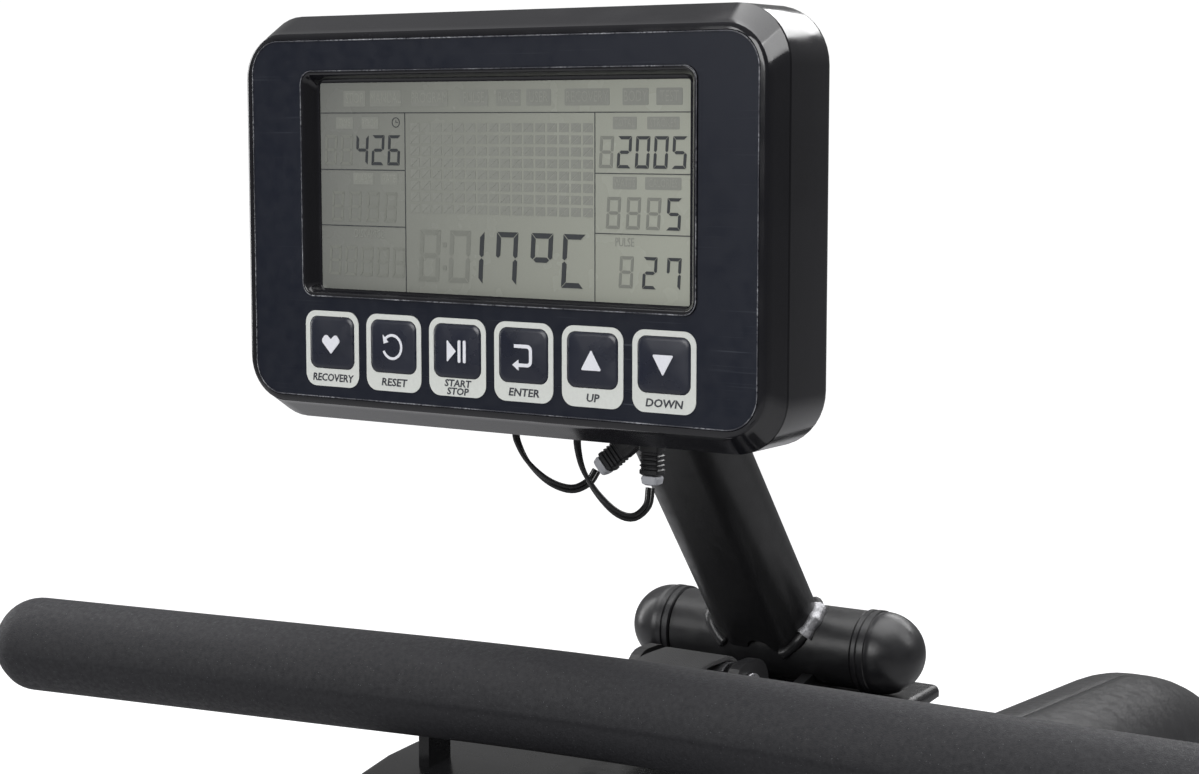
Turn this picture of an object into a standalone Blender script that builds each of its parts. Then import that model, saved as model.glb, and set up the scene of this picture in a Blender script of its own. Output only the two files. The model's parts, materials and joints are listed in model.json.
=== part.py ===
"""Rowing machine with a strap drive, a braked flywheel and a sliding seat.

+Y is the front, where the flywheel is, +X is the rower's right, and the floor is Z = 0.
Lengths are in metres. Places in the side view are written (y, z).
"""

import math

import bmesh
import bpy
import numpy as np
from mathutils import Matrix, Vector

GAP = 0.0003  # clearance between neighbouring pieces

# Console: the middle of its front face, and its box.
CONSOLE_Y = 0.220
CONSOLE_Z = 0.900
FACE_HALF = (0.117, 0.0713)
SEAM_HALF = (0.1185, 0.078)
FACE_CORNER = 0.0175
SEAM_CORNER = 0.021
SEAM_DEPTH = 0.012
CONSOLE_DEPTH = 0.0435
FRONT_WALL = 0.0047
OVERLAY_HALF = (0.113, 0.06785)
OVERLAY_CORNER = 0.0125
OVERLAY_THICK = 0.0005
WINDOW = (-0.0875, 0.0879, -0.0281, 0.0556)
GLASS = (-0.0815, 0.0850, -0.0240, 0.0518)
MOUNT_Z = 0.928
MOUNT_THICK = 0.004
KEY_PITCH = 0.0301
KEY_MIDDLE_X = 0.0007
KEY_DROP = 0.0469
KEY_HALF = (0.0109, 0.0100)
KEY_NAMES = ("recovery", "reset", "start", "enter", "up", "down")

# Head of the frame: the crossbar, the mast on it and the roller that leads the strap.
CROSSBAR = (0.4365, 0.7063)
CROSSBAR_RADIUS = 0.0175
CROSSBAR_HALF = 0.0726
CAP_FLANGE = 0.0085
MAST_LEAN = math.radians(37.6)
MAST_WIDE = 0.050
MAST_DEEP = 0.030
MAST_WALL = 0.002
ROLLER = (0.366, 0.699)
ROLLER_RADIUS = 0.012
ROLLER_PIN = 0.004
STRAP_WIDE = 0.032
STRAP_THICK = 0.002

# Handle.
HANDLE_Z = 0.721
HANDLE_BEND = (0.028, 0.2420)
HANDLE_LEFT = (-0.236, 0.1960)
HANDLE_RIGHT = (0.292, 0.2435)
GRIP_RADIUS = 0.01925
CORE_RADIUS = 0.0125
BRACKET_X = 0.014
BRACKET_FRONT = 0.300

# Tray that the handle rests on, from the rower forwards: y, top, half width and depth of its side edge.
TRAY_LINE = (
    (0.1950, 0.6800, 0.0520, 0.0160),
    (0.1985, 0.6804, 0.0600, 0.0160),
    (0.2060, 0.6809, 0.0665, 0.0160),
    (0.2180, 0.6818, 0.0720, 0.0160),
    (0.2320, 0.6830, 0.0758, 0.0160),
    (0.2500, 0.6850, 0.0780, 0.0155),
    (0.2680, 0.6862, 0.0780, 0.0145),
    (0.3600, 0.6872, 0.0750, 0.0090),
    (0.4640, 0.6880, 0.0680, 0.0050),
)
TRAY_THICK = 0.0025
TRAY_ROUND = 0.6  # rounding of the side edge, as a share of its depth
TRAY_SLOT = (0.345, 0.481)
LUG_X = 0.050
LUG_WIDE = 0.005
LUG_TOP = 0.7270
LUG_TOE = 0.7060

# Frame.
PLATE_INNER = 0.022
PLATE_THICK = 0.005
BEAM_HALF = PLATE_INNER - GAP
BEAM_LOW = 0.0703
BEAM_HIGH = 0.130
RAIL_TILT = math.radians(2.0)
RAIL_HIGH = 0.080
RAIL_WALL = 0.004
RAIL_FRONT = 0.500
RAIL_REAR = -1.045
RAIL_MIDDLE_Z = 0.230  # height of the rail's centre line at Y = 0
REAR_FOOT_Y = -0.980
REAR_BAR = 0.360
FRONT_FOOT_Y = 0.960
FRONT_BAR = 0.555
FOOT_WIDE = 0.049
FOOT_HIGH = 0.075
BAR_HIGH = 0.042
BAR_MIDDLE_Z = 0.049
WHEEL_X = 0.190

# Drive.
FLYWHEEL = (0.847, 0.393)
FLYWHEEL_RADIUS = 0.165
REEL = (0.580, 0.400)
REEL_PACK = 0.044
PULLEY_RADIUS = 0.085
SMALL_PULLEY = 0.020
PULLEY_X = (0.031, 0.041)
BRAKE_PIVOT_ANGLE = math.radians(255)

# Housing: half width, rounding of its rim, wall, and the circles whose outer tangents make its outline.
HOUSING_HALF = 0.050
HOUSING_RIM = 0.045
HOUSING_WALL = 0.003
HOUSING_CIRCLES = (
    (FLYWHEEL[0], FLYWHEEL[1], 0.210),
    (0.520, 0.557, 0.061),
    (0.470, 0.140, 0.055),
    (0.955, 0.140, 0.055),
)

NECK_OPENING = ((0.40, 0.50), (0.52, 0.45), (0.575, 0.56), (0.50, 0.70), (0.36, 0.70))

# Pedals.
PEDAL_PIVOT = (0.360, 0.150)
PEDAL_TILT = math.radians(42)
PEDAL_X = 0.132
PEDAL_WIDE = 0.120
PEDAL_LONG = 0.300
PEDAL_THICK = 0.012
PEDAL_LIFT = 0.040

# Seat.
SEAT_Y = 0.020
SEAT_HALF = (0.145, 0.120)
SEAT_THICK = 0.056
WHEEL_RADIUS = 0.016
WHEEL_OFFSET = 0.070
CARRIAGE_HALF = 0.095
CARRIAGE_SIDE = 0.034
CARRIAGE_TOP = 0.316 - RAIL_MIDDLE_Z

# Leads under the console: points of each route, the last one at the connector.
LEAD_DIAMETER = 0.0036
LEAD_LEFT = (
    (-0.0095, 0.2500, 0.8215),
    (-0.0090, 0.2502, 0.8165),
    (-0.0048, 0.2515, 0.8085),
    (0.0030, 0.2540, 0.8015),
    (0.0100, 0.2590, 0.7985),
    (0.0148, 0.2635, 0.8010),
    (0.0172, 0.2655, 0.8055),
)
LEAD_RIGHT = (
    (0.0198, 0.2485, 0.8215),
    (0.0200, 0.2486, 0.8160),
    (0.0222, 0.2490, 0.8080),
    (0.0275, 0.2505, 0.7995),
    (0.0340, 0.2535, 0.7925),
    (0.0388, 0.2580, 0.7905),
    (0.0420, 0.2625, 0.7945),
    (0.0420, 0.2645, 0.8010),
)

PARTS = None
CUTTERS = None


# ---------------------------------------------------------------- scene and materials


def start_scene():
    for old in list(bpy.data.objects):
        bpy.data.objects.remove(old)
    made = []
    for name in ("rowing_machine", "cutters"):
        collection = bpy.data.collections.new(name)
        bpy.context.scene.collection.children.link(collection)
        made.append(collection)
    return made


def material(name, colour, roughness, metallic=0.0):
    made = bpy.data.materials.new(name)
    made.use_nodes = True
    shader = made.node_tree.nodes["Principled BSDF"]
    shader.inputs["Base Color"].default_value = (*colour, 1.0)
    shader.inputs["Roughness"].default_value = roughness
    shader.inputs["Metallic"].default_value = metallic
    made.diffuse_color = (*colour, 1.0)
    return made


def finish(name, mesh, look, place=(0, 0, 0), turn=(0, 0, 0), smooth=True):
    """A mesh becomes a named piece, or a cutter when it has no material."""
    obj = bpy.data.objects.new(name, mesh)
    obj.location = place
    obj.rotation_euler = turn
    if look is None:
        CUTTERS.objects.link(obj)
        obj.hide_render = True
        obj.display_type = "WIRE"
    else:
        PARTS.objects.link(obj)
        mesh.materials.append(look)
    if smooth and mesh.polygons:
        mesh.shade_smooth()
        mesh.set_sharp_from_angle(angle=math.radians(35))
    return obj


# ---------------------------------------------------------------- outlines


def hull(circles, step=math.radians(15), grow=0.0):
    """Points round the outer tangents of circles (u, v, radius) that are listed counter-clockwise."""
    angles = []
    for here, there in zip(circles, circles[1:] + circles[:1]):
        run = Vector(there[:2]) - Vector(here[:2])
        lean = math.asin((here[2] - there[2]) / run.length)
        angles.append(math.atan2(run.y, run.x) - math.pi / 2 + lean)
    points = []
    for i, (u, v, radius) in enumerate(circles):
        start = angles[i - 1]
        sweep = (angles[i] - start) % (2 * math.pi)
        steps = max(1, round(sweep / step))
        for k in range(steps + 1):
            angle = start + sweep * k / steps
            points.append((u + (radius + grow) * math.cos(angle), v + (radius + grow) * math.sin(angle)))
    return points


def rounded_box(half_u, half_v, corner, middle=(0, 0), step=math.radians(22.5)):
    """Outline of a rectangle with round corners, counter-clockwise."""
    u, v = half_u - corner, half_v - corner
    circles = ((u, v), (-u, v), (-u, -v), (u, -v))
    return hull(tuple((middle[0] + a, middle[1] + b, corner) for a, b in circles), step)


def rounded(corners, step=math.radians(18)):
    """Outline through corners (u, v, radius), each one rounded with an arc of its radius."""
    points = []
    for i, (u, v, radius) in enumerate(corners):
        here = Vector((u, v))
        back = (Vector(corners[i - 1][:2]) - here).normalized()
        ahead = (Vector(corners[(i + 1) % len(corners)][:2]) - here).normalized()
        if radius == 0:
            points.append((u, v))
            continue
        half = back.angle(ahead) / 2
        centre = here + (back + ahead).normalized() * radius / math.sin(half)
        first = here + back * radius / math.tan(half) - centre
        last = here + ahead * radius / math.tan(half) - centre
        turn = math.atan2(first.x * last.y - first.y * last.x, first.dot(last))
        steps = max(1, round(abs(turn) / step))
        for k in range(steps + 1):
            arm = first.copy()
            arm.rotate(Matrix.Rotation(turn * k / steps, 2))
            points.append(tuple(centre + arm))
    return points


# ---------------------------------------------------------------- shapes

# Each frame turns an outline's own (u, v, depth) into world directions.
SIDE = Matrix(((0, 0, 1), (1, 0, 0), (0, 1, 0)))  # u = Y, v = Z, depth = X
FRONT = Matrix(((1, 0, 0), (0, 0, -1), (0, 1, 0)))  # u = X, v = Z, depth = -Y
PLAN = Matrix.Identity(3)  # u = X, v = Y, depth = Z


def box(name, middle, size, look, tilt=0.0, edge=0.0, pivot=None):
    """A cuboid tilted about X. With a pivot, the object's origin is there."""
    mesh = bpy.data.meshes.new(name)
    bm = bmesh.new()
    bmesh.ops.create_cube(bm, size=1)
    bmesh.ops.scale(bm, vec=size, verts=bm.verts)
    if pivot is not None:
        back = Matrix.Rotation(-tilt, 3, "X") @ (Vector(middle) - Vector(pivot))
        bmesh.ops.translate(bm, vec=back, verts=bm.verts)
    bm.to_mesh(mesh)
    bm.free()
    obj = finish(name, mesh, look, pivot or middle, (tilt, 0, 0), smooth=False)
    if edge:
        bevel(obj, edge)
    return obj


def bevel(obj, width, segments=2):
    modifier = obj.modifiers.new("rounded edges", "BEVEL")
    modifier.width = width
    modifier.segments = segments
    modifier.limit_method = "ANGLE"
    modifier.angle_limit = math.radians(40)


def rod(name, start, end, radius, look, sides=24):
    """A cylinder from start to end, with its origin in the middle."""
    mesh = bpy.data.meshes.new(name)
    run = Vector(end) - Vector(start)
    bm = bmesh.new()
    ends = {"radius1": radius, "radius2": radius}
    bmesh.ops.create_cone(bm, cap_ends=True, segments=sides, depth=run.length, **ends)
    bm.to_mesh(mesh)
    bm.free()
    turn = run.to_track_quat("Z", "Y").to_euler()
    return finish(name, mesh, look, (Vector(start) + Vector(end)) / 2, turn)


def turned(name, middle, profile, look, closed=False, steps=32):
    """A solid turned about an axis along X. Its profile (radius, x) runs from high x to low x outside."""
    mesh = bpy.data.meshes.new(name)
    count = len(profile)
    edges = [(i, (i + 1) % count) for i in range(count if closed else count - 1)]
    mesh.from_pydata([(radius, 0, x) for radius, x in profile], edges, [])
    obj = finish(name, mesh, look, middle, (0, math.pi / 2, 0))
    screw = obj.modifiers.new("turned", "SCREW")
    screw.steps = steps
    screw.render_steps = steps
    screw.use_merge_vertices = True
    screw.merge_threshold = 0.00001
    return obj


def ring_profile(outer, bore, half):
    """Profile of a plain wheel with its bore."""
    return [(outer, half), (outer, -half), (bore, -half), (bore, half)]


def flat(name, outlines, frame, low, high, look, origin=(0, 0, 0), lean=0.0):
    """Outlines, the first one outside and the others holes, thickened from low to high depth."""
    curve = bpy.data.curves.new(name, "CURVE")
    curve.dimensions = "2D"
    curve.fill_mode = "BOTH"
    curve.extrude = (high - low) / 2
    for outline in outlines:
        spline = curve.splines.new("POLY")
        spline.points.add(len(outline) - 1)
        for point, (u, v) in zip(spline.points, outline):
            point.co = (u, v, 0, 1)
        spline.use_cyclic_u = True
    turn = Matrix.Rotation(lean, 3, "X") @ frame
    shift = turn @ Vector((0, 0, (low + high) / 2))
    return curve_to_piece(name, curve, look, Vector(origin) + shift, turn.to_euler())


def tube(name, points, radius, look, resolution=3):
    """A round tube with closed ends through points, as a mesh."""
    curve = bpy.data.curves.new(name, "CURVE")
    curve.dimensions = "3D"
    curve.bevel_depth = radius
    curve.bevel_resolution = resolution
    curve.use_fill_caps = True
    spline = curve.splines.new("POLY")
    spline.points.add(len(points) - 1)
    for point, place in zip(spline.points, points):
        point.co = (*place, 1)
    return curve_to_piece(name, curve, look, (0, 0, 0), (0, 0, 0))


def curve_to_piece(name, curve, look, place, turn):
    guide = bpy.data.objects.new(name + "_guide", curve)
    bpy.context.scene.collection.objects.link(guide)
    bpy.context.view_layer.update()
    graph = bpy.context.evaluated_depsgraph_get()
    mesh = bpy.data.meshes.new_from_object(guide.evaluated_get(graph))
    bpy.data.objects.remove(guide)
    bpy.data.curves.remove(curve)
    mesh.name = name
    mesh.materials.clear()
    bm = bmesh.new()
    bm.from_mesh(mesh)
    bmesh.ops.remove_doubles(bm, verts=bm.verts, dist=0.00001)
    bmesh.ops.recalc_face_normals(bm, faces=bm.faces)
    bm.to_mesh(mesh)
    bm.free()
    return finish(name, mesh, look, place, turn)


def loft(name, rings, look, origin=(0, 0, 0)):
    """A solid through rings of equal length, with flat ends."""
    mesh = bpy.data.meshes.new(name)
    bm = bmesh.new()
    rows = []
    for ring in rings:
        rows.append([bm.verts.new(Vector(point) - Vector(origin)) for point in ring])
    count = len(rows[0])
    for low, high in zip(rows, rows[1:]):
        for i in range(count):
            bm.faces.new((low[i], low[(i + 1) % count], high[(i + 1) % count], high[i]))
    bm.faces.new(rows[0][::-1])
    bm.faces.new(rows[-1])
    bmesh.ops.recalc_face_normals(bm, faces=bm.faces)
    bm.to_mesh(mesh)
    bm.free()
    return finish(name, mesh, look, origin)


def join(obj, *others):
    """Weld other solids into this one. They become helpers."""
    for other in others:
        helper(other)
        add_boolean(obj, other, "UNION")
    return obj


def cut(obj, *cutters):
    for cutter in cutters:
        helper(cutter)
        add_boolean(obj, cutter, "DIFFERENCE")
    return obj


def helper(obj):
    if obj.name in PARTS.objects:
        PARTS.objects.unlink(obj)
        CUTTERS.objects.link(obj)
    obj.hide_render = True
    obj.display_type = "WIRE"


def add_boolean(obj, other, operation):
    modifier = obj.modifiers.new(other.name, "BOOLEAN")
    modifier.operation = operation
    modifier.object = other
    modifier.solver = "EXACT"


def across(place, x):
    """A point of the side view at a given X."""
    return (x, place[0], place[1])


def rail_height(y):
    """Height of the rail's centre line."""
    return RAIL_MIDDLE_Z - y * math.tan(RAIL_TILT)


def on_rail(along, above, x=0.0):
    """World point from a distance along the rail (forwards) and above its centre line, from Y = 0."""
    c, s = math.cos(RAIL_TILT), math.sin(RAIL_TILT)
    return (x, along * c + above * s, RAIL_MIDDLE_Z - along * s + above * c)


# ---------------------------------------------------------------- frame


def transport_wheel_places():
    return [(side * WHEEL_X, FRONT_FOOT_Y + 0.060, 0.032) for side in (-1, 1)]


def build_feet(end, bar, deep, y, rubber):
    """Rubber caps that wrap both ends of a cross bar and stand on the floor."""
    for side, sign in (("left", -1), ("right", 1)):
        middle = (sign * (bar / 2 + 0.015 - FOOT_WIDE / 2), y, FOOT_HIGH / 2)
        size = (FOOT_WIDE, deep + 0.010, FOOT_HIGH)
        foot = box(end + "_foot_" + side, middle, size, rubber, edge=0.006)
        pocket = (bar + 2 * GAP, deep + 2 * GAP, BAR_HIGH + 2 * GAP)
        cut(foot, box("foot_pocket", (0, y, BAR_MIDDLE_Z), pocket, None))


def build_front_stabilizer(steel, rubber, plastic):
    size = (FRONT_BAR, 0.060, BAR_HIGH)
    bar = box("front_stabilizer", (0, FRONT_FOOT_Y, BAR_MIDDLE_Z), size, steel, edge=0.005)
    for side, (x, y, z) in zip(("left", "right"), transport_wheel_places()):
        for ear in (-0.0145, 0.0145):
            join(bar, box("wheel_ear", (x + ear, y - 0.013, z + 0.003), (0.004, 0.040, 0.022), None))
        join(bar, rod("wheel_pin", (x - 0.015, y, z), (x + 0.015, y, z), 0.004, None, 16))
        wheel = ring_profile(0.028, 0.0045, 0.0115)
        turned("transport_wheel_" + side, (x, y, z), wheel, plastic, closed=True)
    build_feet("front", FRONT_BAR, 0.060, FRONT_FOOT_Y, rubber)


def build_rear_leg(steel, rubber):
    drop = RAIL_HIGH / 2 + GAP
    along = REAR_FOOT_Y / math.cos(RAIL_TILT)
    top = on_rail(along, -drop)
    leg = box("rear_leg", (0, REAR_FOOT_Y, BAR_MIDDLE_Z), (REAR_BAR, 0.050, BAR_HIGH), steel, edge=0.005)
    low = BAR_MIDDLE_Z - 0.004
    high = top[2] + 0.05
    post = box("leg_post", (0, REAR_FOOT_Y, (low + high) / 2), (0.040, 0.040, high - low), None)
    ceiling = box("under_rail", on_rail(along, 0.2 - drop), (0.2, 0.3, 0.4), None, tilt=-RAIL_TILT)
    join(leg, post)
    cut(leg, ceiling)
    build_feet("rear", REAR_BAR, 0.050, REAR_FOOT_Y, rubber)


def plate_outline():
    return rounded((
        (0.305, 0.0706, 0.015),
        (0.955, 0.0706, 0.015),
        (0.955, 0.140, 0.020),
        (0.893, 0.230, 0.060),
        (0.893, 0.439, 0.044),
        (0.801, 0.439, 0.044),
        (0.775, 0.290, 0.060),
        (0.655, 0.290, 0.060),
        (0.645, 0.455, 0.050),
        (0.462, 0.7063, 0.003),
        (0.405, 0.6915, 0.006),
        (0.386, 0.6930, 0.005),
        (0.379, 0.7125, 0.010),
        (0.354, 0.7125, 0.011),
        (0.352, 0.6800, 0.012),
        (0.410, 0.6550, 0.030),
        (0.510, 0.470, 0.060),
        (0.495, 0.268, 0.040),
        (0.305, 0.268, 0.015),
    ))


def build_plates(steel):
    for side, sign in (("left", -1), ("right", 1)):
        faces = sorted((sign * PLATE_INNER, sign * (PLATE_INNER + PLATE_THICK)))
        plate = flat("frame_plate_" + side, [plate_outline()], SIDE, faces[0], faces[1], steel)
        holes = (
            ("roller_hole", ROLLER, 0.0043, 16),
            ("reel_hole", REEL, 0.0083, 20),
            ("flywheel_hole", FLYWHEEL, 0.0103, 24),
            ("pedal_bar_hole", PEDAL_PIVOT, 0.0083, 20),
            ("brake_pin_hole", brake_pivot(), 0.0043, 16),
            ("crossbar_cope", CROSSBAR, CROSSBAR_RADIUS + GAP, 32),
        )
        for name, place, radius, sides in holes:
            ends = across(place, sign * 0.010), across(place, sign * 0.040)
            cut(plate, rod(name, *ends, radius, None, sides))


def build_rail(aluminium, plastic, steel):
    middle = (RAIL_FRONT + RAIL_REAR) / 2
    long = (RAIL_FRONT - RAIL_REAR) / math.cos(RAIL_TILT)
    place = (0, middle, rail_height(middle))
    rail = box("rail", place, (2 * BEAM_HALF, long, RAIL_HIGH), aluminium, tilt=-RAIL_TILT, edge=0.003)
    inside = (2 * (BEAM_HALF - RAIL_WALL), long + 0.1, RAIL_HIGH - 2 * RAIL_WALL)
    cut(rail, box("rail_inside", place, inside, None, tilt=-RAIL_TILT))
    end = (RAIL_REAR - 0.0063) / math.cos(RAIL_TILT)
    cap = (2 * BEAM_HALF + 0.006, 0.012, RAIL_HIGH + 0.006)
    box("rail_end_cap", on_rail(end, 0), cap, plastic, tilt=-RAIL_TILT, edge=0.003)
    beam = (0, (0.330 + 0.985) / 2, (BEAM_LOW + BEAM_HIGH) / 2)
    box("base_beam", beam, (2 * BEAM_HALF, 0.655, BEAM_HIGH - BEAM_LOW), steel, edge=0.003)


def build_crossbar(steel, plastic):
    flat_end = CROSSBAR_HALF - CROSSBAR_RADIUS - CAP_FLANGE
    ends = across(CROSSBAR, -flat_end + GAP), across(CROSSBAR, flat_end - GAP)
    rod("crossbar", *ends, CROSSBAR_RADIUS, steel, 32)
    for side, sign in (("left", -1), ("right", 1)):
        middle = CROSSBAR_HALF - CROSSBAR_RADIUS
        profile = [(0, flat_end), (CROSSBAR_RADIUS + 0.0004, flat_end)]
        for k in range(7):
            angle = math.radians(15 * k)
            radius = (CROSSBAR_RADIUS + 0.0004) * math.cos(angle)
            profile.append((max(radius, 0), middle + CROSSBAR_RADIUS * math.sin(angle)))
        profile[-1] = (0, CROSSBAR_HALF)
        profile = [(radius, sign * x) for radius, x in profile]
        if sign > 0:
            profile.reverse()
        turned("crossbar_cap_" + side, across(CROSSBAR, 0), profile, plastic, steps=28)


def build_mast(steel):
    axis = Vector((0, math.sin(MAST_LEAN), -math.cos(MAST_LEAN)))
    foot = Vector(across(CROSSBAR, 0))
    bracket_back = CONSOLE_Y + CONSOLE_DEPTH + GAP + MOUNT_THICK + GAP
    long = (foot.y - bracket_back) / axis.y + 0.04
    side = (MAST_WIDE - MAST_DEEP) / 2
    section = ((side, 0, MAST_DEEP / 2), (-side, 0, MAST_DEEP / 2))
    outer = hull(section, math.radians(20))
    inner = hull(section, math.radians(20), -MAST_WALL)
    mast = flat("console_mast", [outer], PLAN, 0, long, steel, foot, MAST_LEAN)
    bore = flat("mast_bore", [inner], PLAN, -0.05, long + 0.05, None, foot, MAST_LEAN)
    front = box("bracket_plane", (0, bracket_back - 0.1, foot.z + 0.2), (0.2, 0.2, 0.6), None)
    ends = across(CROSSBAR, -0.1), across(CROSSBAR, 0.1)
    saddle = rod("mast_cope", *ends, CROSSBAR_RADIUS + GAP, None, 32)
    cut(mast, bore, front, saddle)


# ---------------------------------------------------------------- console


def console_ring(half, corner, depth, inset=0.0):
    """A rounded rectangle of the console, at a depth behind its face."""
    outline = rounded_box(half[0] - inset, half[1] - inset, corner - inset)
    return [(u, CONSOLE_Y + depth, CONSOLE_Z + v) for u, v in outline]


def window_ring(edges, depth):
    left, right, low, high = edges
    middle = ((left + right) / 2, (low + high) / 2)
    outline = rounded_box((right - left) / 2, (high - low) / 2, 0.004, middle)
    return [(u, CONSOLE_Y + depth, CONSOLE_Z + v) for u, v in outline]


def key_places():
    return [(KEY_MIDDLE_X + (i - 2.5) * KEY_PITCH, -KEY_DROP) for i in range(6)]


def key_hole(place, depth_from, depth_to):
    u, v = place
    size = (2 * (KEY_HALF[0] + GAP), depth_to - depth_from, 2 * (KEY_HALF[1] + GAP))
    return box("key_hole", (u, CONSOLE_Y + (depth_from + depth_to) / 2, CONSOLE_Z + v), size, None)


def build_console_shells(gloss):
    front = loft("console_front_shell", [
        console_ring(FACE_HALF, FACE_CORNER, 0, 0.0012),
        console_ring(FACE_HALF, FACE_CORNER, 0.0012),
        console_ring(SEAM_HALF, SEAM_CORNER, SEAM_DEPTH - GAP),
    ], gloss)
    pocket_half = (FACE_HALF[0] - 0.0025, FACE_HALF[1] - 0.0025)
    pocket = loft("front_pocket", [
        console_ring(pocket_half, FACE_CORNER - 0.0025, FRONT_WALL),
        console_ring(pocket_half, FACE_CORNER - 0.0025, SEAM_DEPTH + 0.002),
    ], None)
    recess_half = (OVERLAY_HALF[0] + GAP, OVERLAY_HALF[1] + GAP)
    recess = loft("overlay_recess", [
        console_ring(recess_half, OVERLAY_CORNER, -0.001),
        console_ring(recess_half, OVERLAY_CORNER, OVERLAY_THICK + GAP),
    ], None)
    window_rings = [window_ring(WINDOW, -0.0012), window_ring(GLASS, FRONT_WALL + 0.0005)]
    window = loft("window_cut", window_rings, None)
    holes = [key_hole(place, -0.002, FRONT_WALL + 0.002) for place in key_places()]
    cut(front, pocket, recess, window, *holes)
    rear = loft("console_rear_shell", [
        console_ring(SEAM_HALF, SEAM_CORNER, SEAM_DEPTH),
        console_ring(SEAM_HALF, SEAM_CORNER, CONSOLE_DEPTH - 0.005),
        console_ring(SEAM_HALF, SEAM_CORNER, CONSOLE_DEPTH - 0.0025, 0.0007),
        console_ring(SEAM_HALF, SEAM_CORNER, CONSOLE_DEPTH - 0.0007, 0.0025),
        console_ring(SEAM_HALF, SEAM_CORNER, CONSOLE_DEPTH, 0.005),
    ], gloss)
    hollow = loft("rear_pocket", [
        console_ring(SEAM_HALF, SEAM_CORNER, SEAM_DEPTH - 0.001, 0.0025),
        console_ring(SEAM_HALF, SEAM_CORNER, CONSOLE_DEPTH - 0.0055, 0.0027),
        console_ring(SEAM_HALF, SEAM_CORNER, CONSOLE_DEPTH - 0.003, 0.0060),
    ], None)
    cut(rear, hollow)


def build_console_face(film, glass, board, steel):
    outline = rounded_box(OVERLAY_HALF[0], OVERLAY_HALF[1], OVERLAY_CORNER)
    middle = (0, CONSOLE_Y, CONSOLE_Z)
    overlay = flat("console_overlay", [outline], FRONT, -OVERLAY_THICK, 0, film, middle)
    window = loft("overlay_window", [window_ring(WINDOW, -0.002), window_ring(WINDOW, 0.002)], None)
    cut(overlay, window, *(key_hole(place, -0.002, 0.002) for place in key_places()))
    high, low = GLASS[3] + 0.003, GLASS[2] - 0.003
    panel = (0, CONSOLE_Y + FRONT_WALL + 0.0025, CONSOLE_Z + (high + low) / 2)
    box("lcd_panel", panel, (2 * (GLASS[1] + 0.003), 0.004, high - low), glass)
    box("console_board", (0, CONSOLE_Y + 0.0145, CONSOLE_Z - 0.002), (0.200, 0.0016, 0.126), board)
    middle = (0, CONSOLE_Y + CONSOLE_DEPTH + GAP + MOUNT_THICK / 2, MOUNT_Z)
    box("console_bracket", middle, (0.064, MOUNT_THICK, 0.072), steel, edge=0.001)


def build_keys(plastic):
    for name, (u, v) in zip(KEY_NAMES, key_places()):
        def ring(depth, half_u, half_v):
            outline = rounded_box(half_u, half_v, 0.003, (u, v))
            return [(a, CONSOLE_Y + depth, CONSOLE_Z + b) for a, b in outline]

        flange = KEY_HALF[0] + 0.0012, KEY_HALF[1] + 0.0012
        rings = [
            ring(-0.0006, KEY_HALF[0] - 0.0006, KEY_HALF[1] - 0.0006),
            ring(0.0, *KEY_HALF),
            ring(FRONT_WALL + GAP, *KEY_HALF),
            ring(FRONT_WALL + GAP, *flange),
            ring(FRONT_WALL + GAP + 0.001, *flange),
        ]
        loft("button_" + name, rings, plastic, (u, CONSOLE_Y, CONSOLE_Z + v))


def smooth_route(points, count):
    """Points spread evenly along a smooth curve through the given ones."""
    ends = [2 * Vector(points[0]) - Vector(points[1]), 2 * Vector(points[-1]) - Vector(points[-2])]
    knots = [ends[0], *map(Vector, points), ends[1]]
    fine = []
    for a, b, c, d in zip(knots, knots[1:], knots[2:], knots[3:]):
        for k in range(12):
            t = k / 12
            square = (2 * a - 5 * b + 4 * c - d) * t**2
            cube = (3 * b - a - 3 * c + d) * t**3
            fine.append((2 * b + (c - a) * t + square + cube) / 2)
    fine.append(knots[-2])
    lengths = np.concatenate([[0], np.cumsum([(q - p).length for p, q in zip(fine, fine[1:])])])
    wanted = np.linspace(0, lengths[-1], count)
    columns = [np.interp(wanted, lengths, [p[k] for p in fine]) for k in range(3)]
    return list(zip(*columns))


def build_leads(rubber, plastic):
    tube("lead_left", smooth_route(LEAD_LEFT, 10), LEAD_DIAMETER / 2, rubber, 2)
    tube("lead_right", smooth_route(LEAD_RIGHT, 12), LEAD_DIAMETER / 2, rubber, 2)
    # Each connector starts just past its lead's end and lies behind the console.
    plugs = (("plug_left", LEAD_LEFT, math.radians(-50)), ("plug_right", LEAD_RIGHT, 0.0))
    for name, route, lean in plugs:
        end = Vector(route[-1])
        up = Vector((-math.sin(lean), 0, math.cos(lean)))
        middle = end + up * (0.0105 + 0.0022) + Vector((0, 0.0014, 0))
        plug = box(name, middle, (0.0085, 0.0060, 0.0210), plastic, edge=0.0008)
        plug.rotation_euler = (0, -lean, 0)


# ---------------------------------------------------------------- handle, strap and tray


def handle_line(z=HANDLE_Z, short=0.0):
    """The handle's centre line: left end, bend and right end."""
    bend = Vector((HANDLE_BEND[0], HANDLE_BEND[1], z))
    ends = []
    for x, y in (HANDLE_LEFT, HANDLE_RIGHT):
        end = Vector((x, y, z))
        ends.append(end + (bend - end).normalized() * short)
    return [ends[0], bend, ends[1]]


def circle_ring(middle, along, radius, sides):
    along = Vector(along).normalized()
    side = along.cross(Vector((0, 0, 1))).normalized()
    up = side.cross(along)
    ring = []
    for k in range(sides):
        angle = 2 * math.pi * k / sides
        ring.append(Vector(middle) + radius * (math.cos(angle) * side + math.sin(angle) * up))
    return ring


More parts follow.
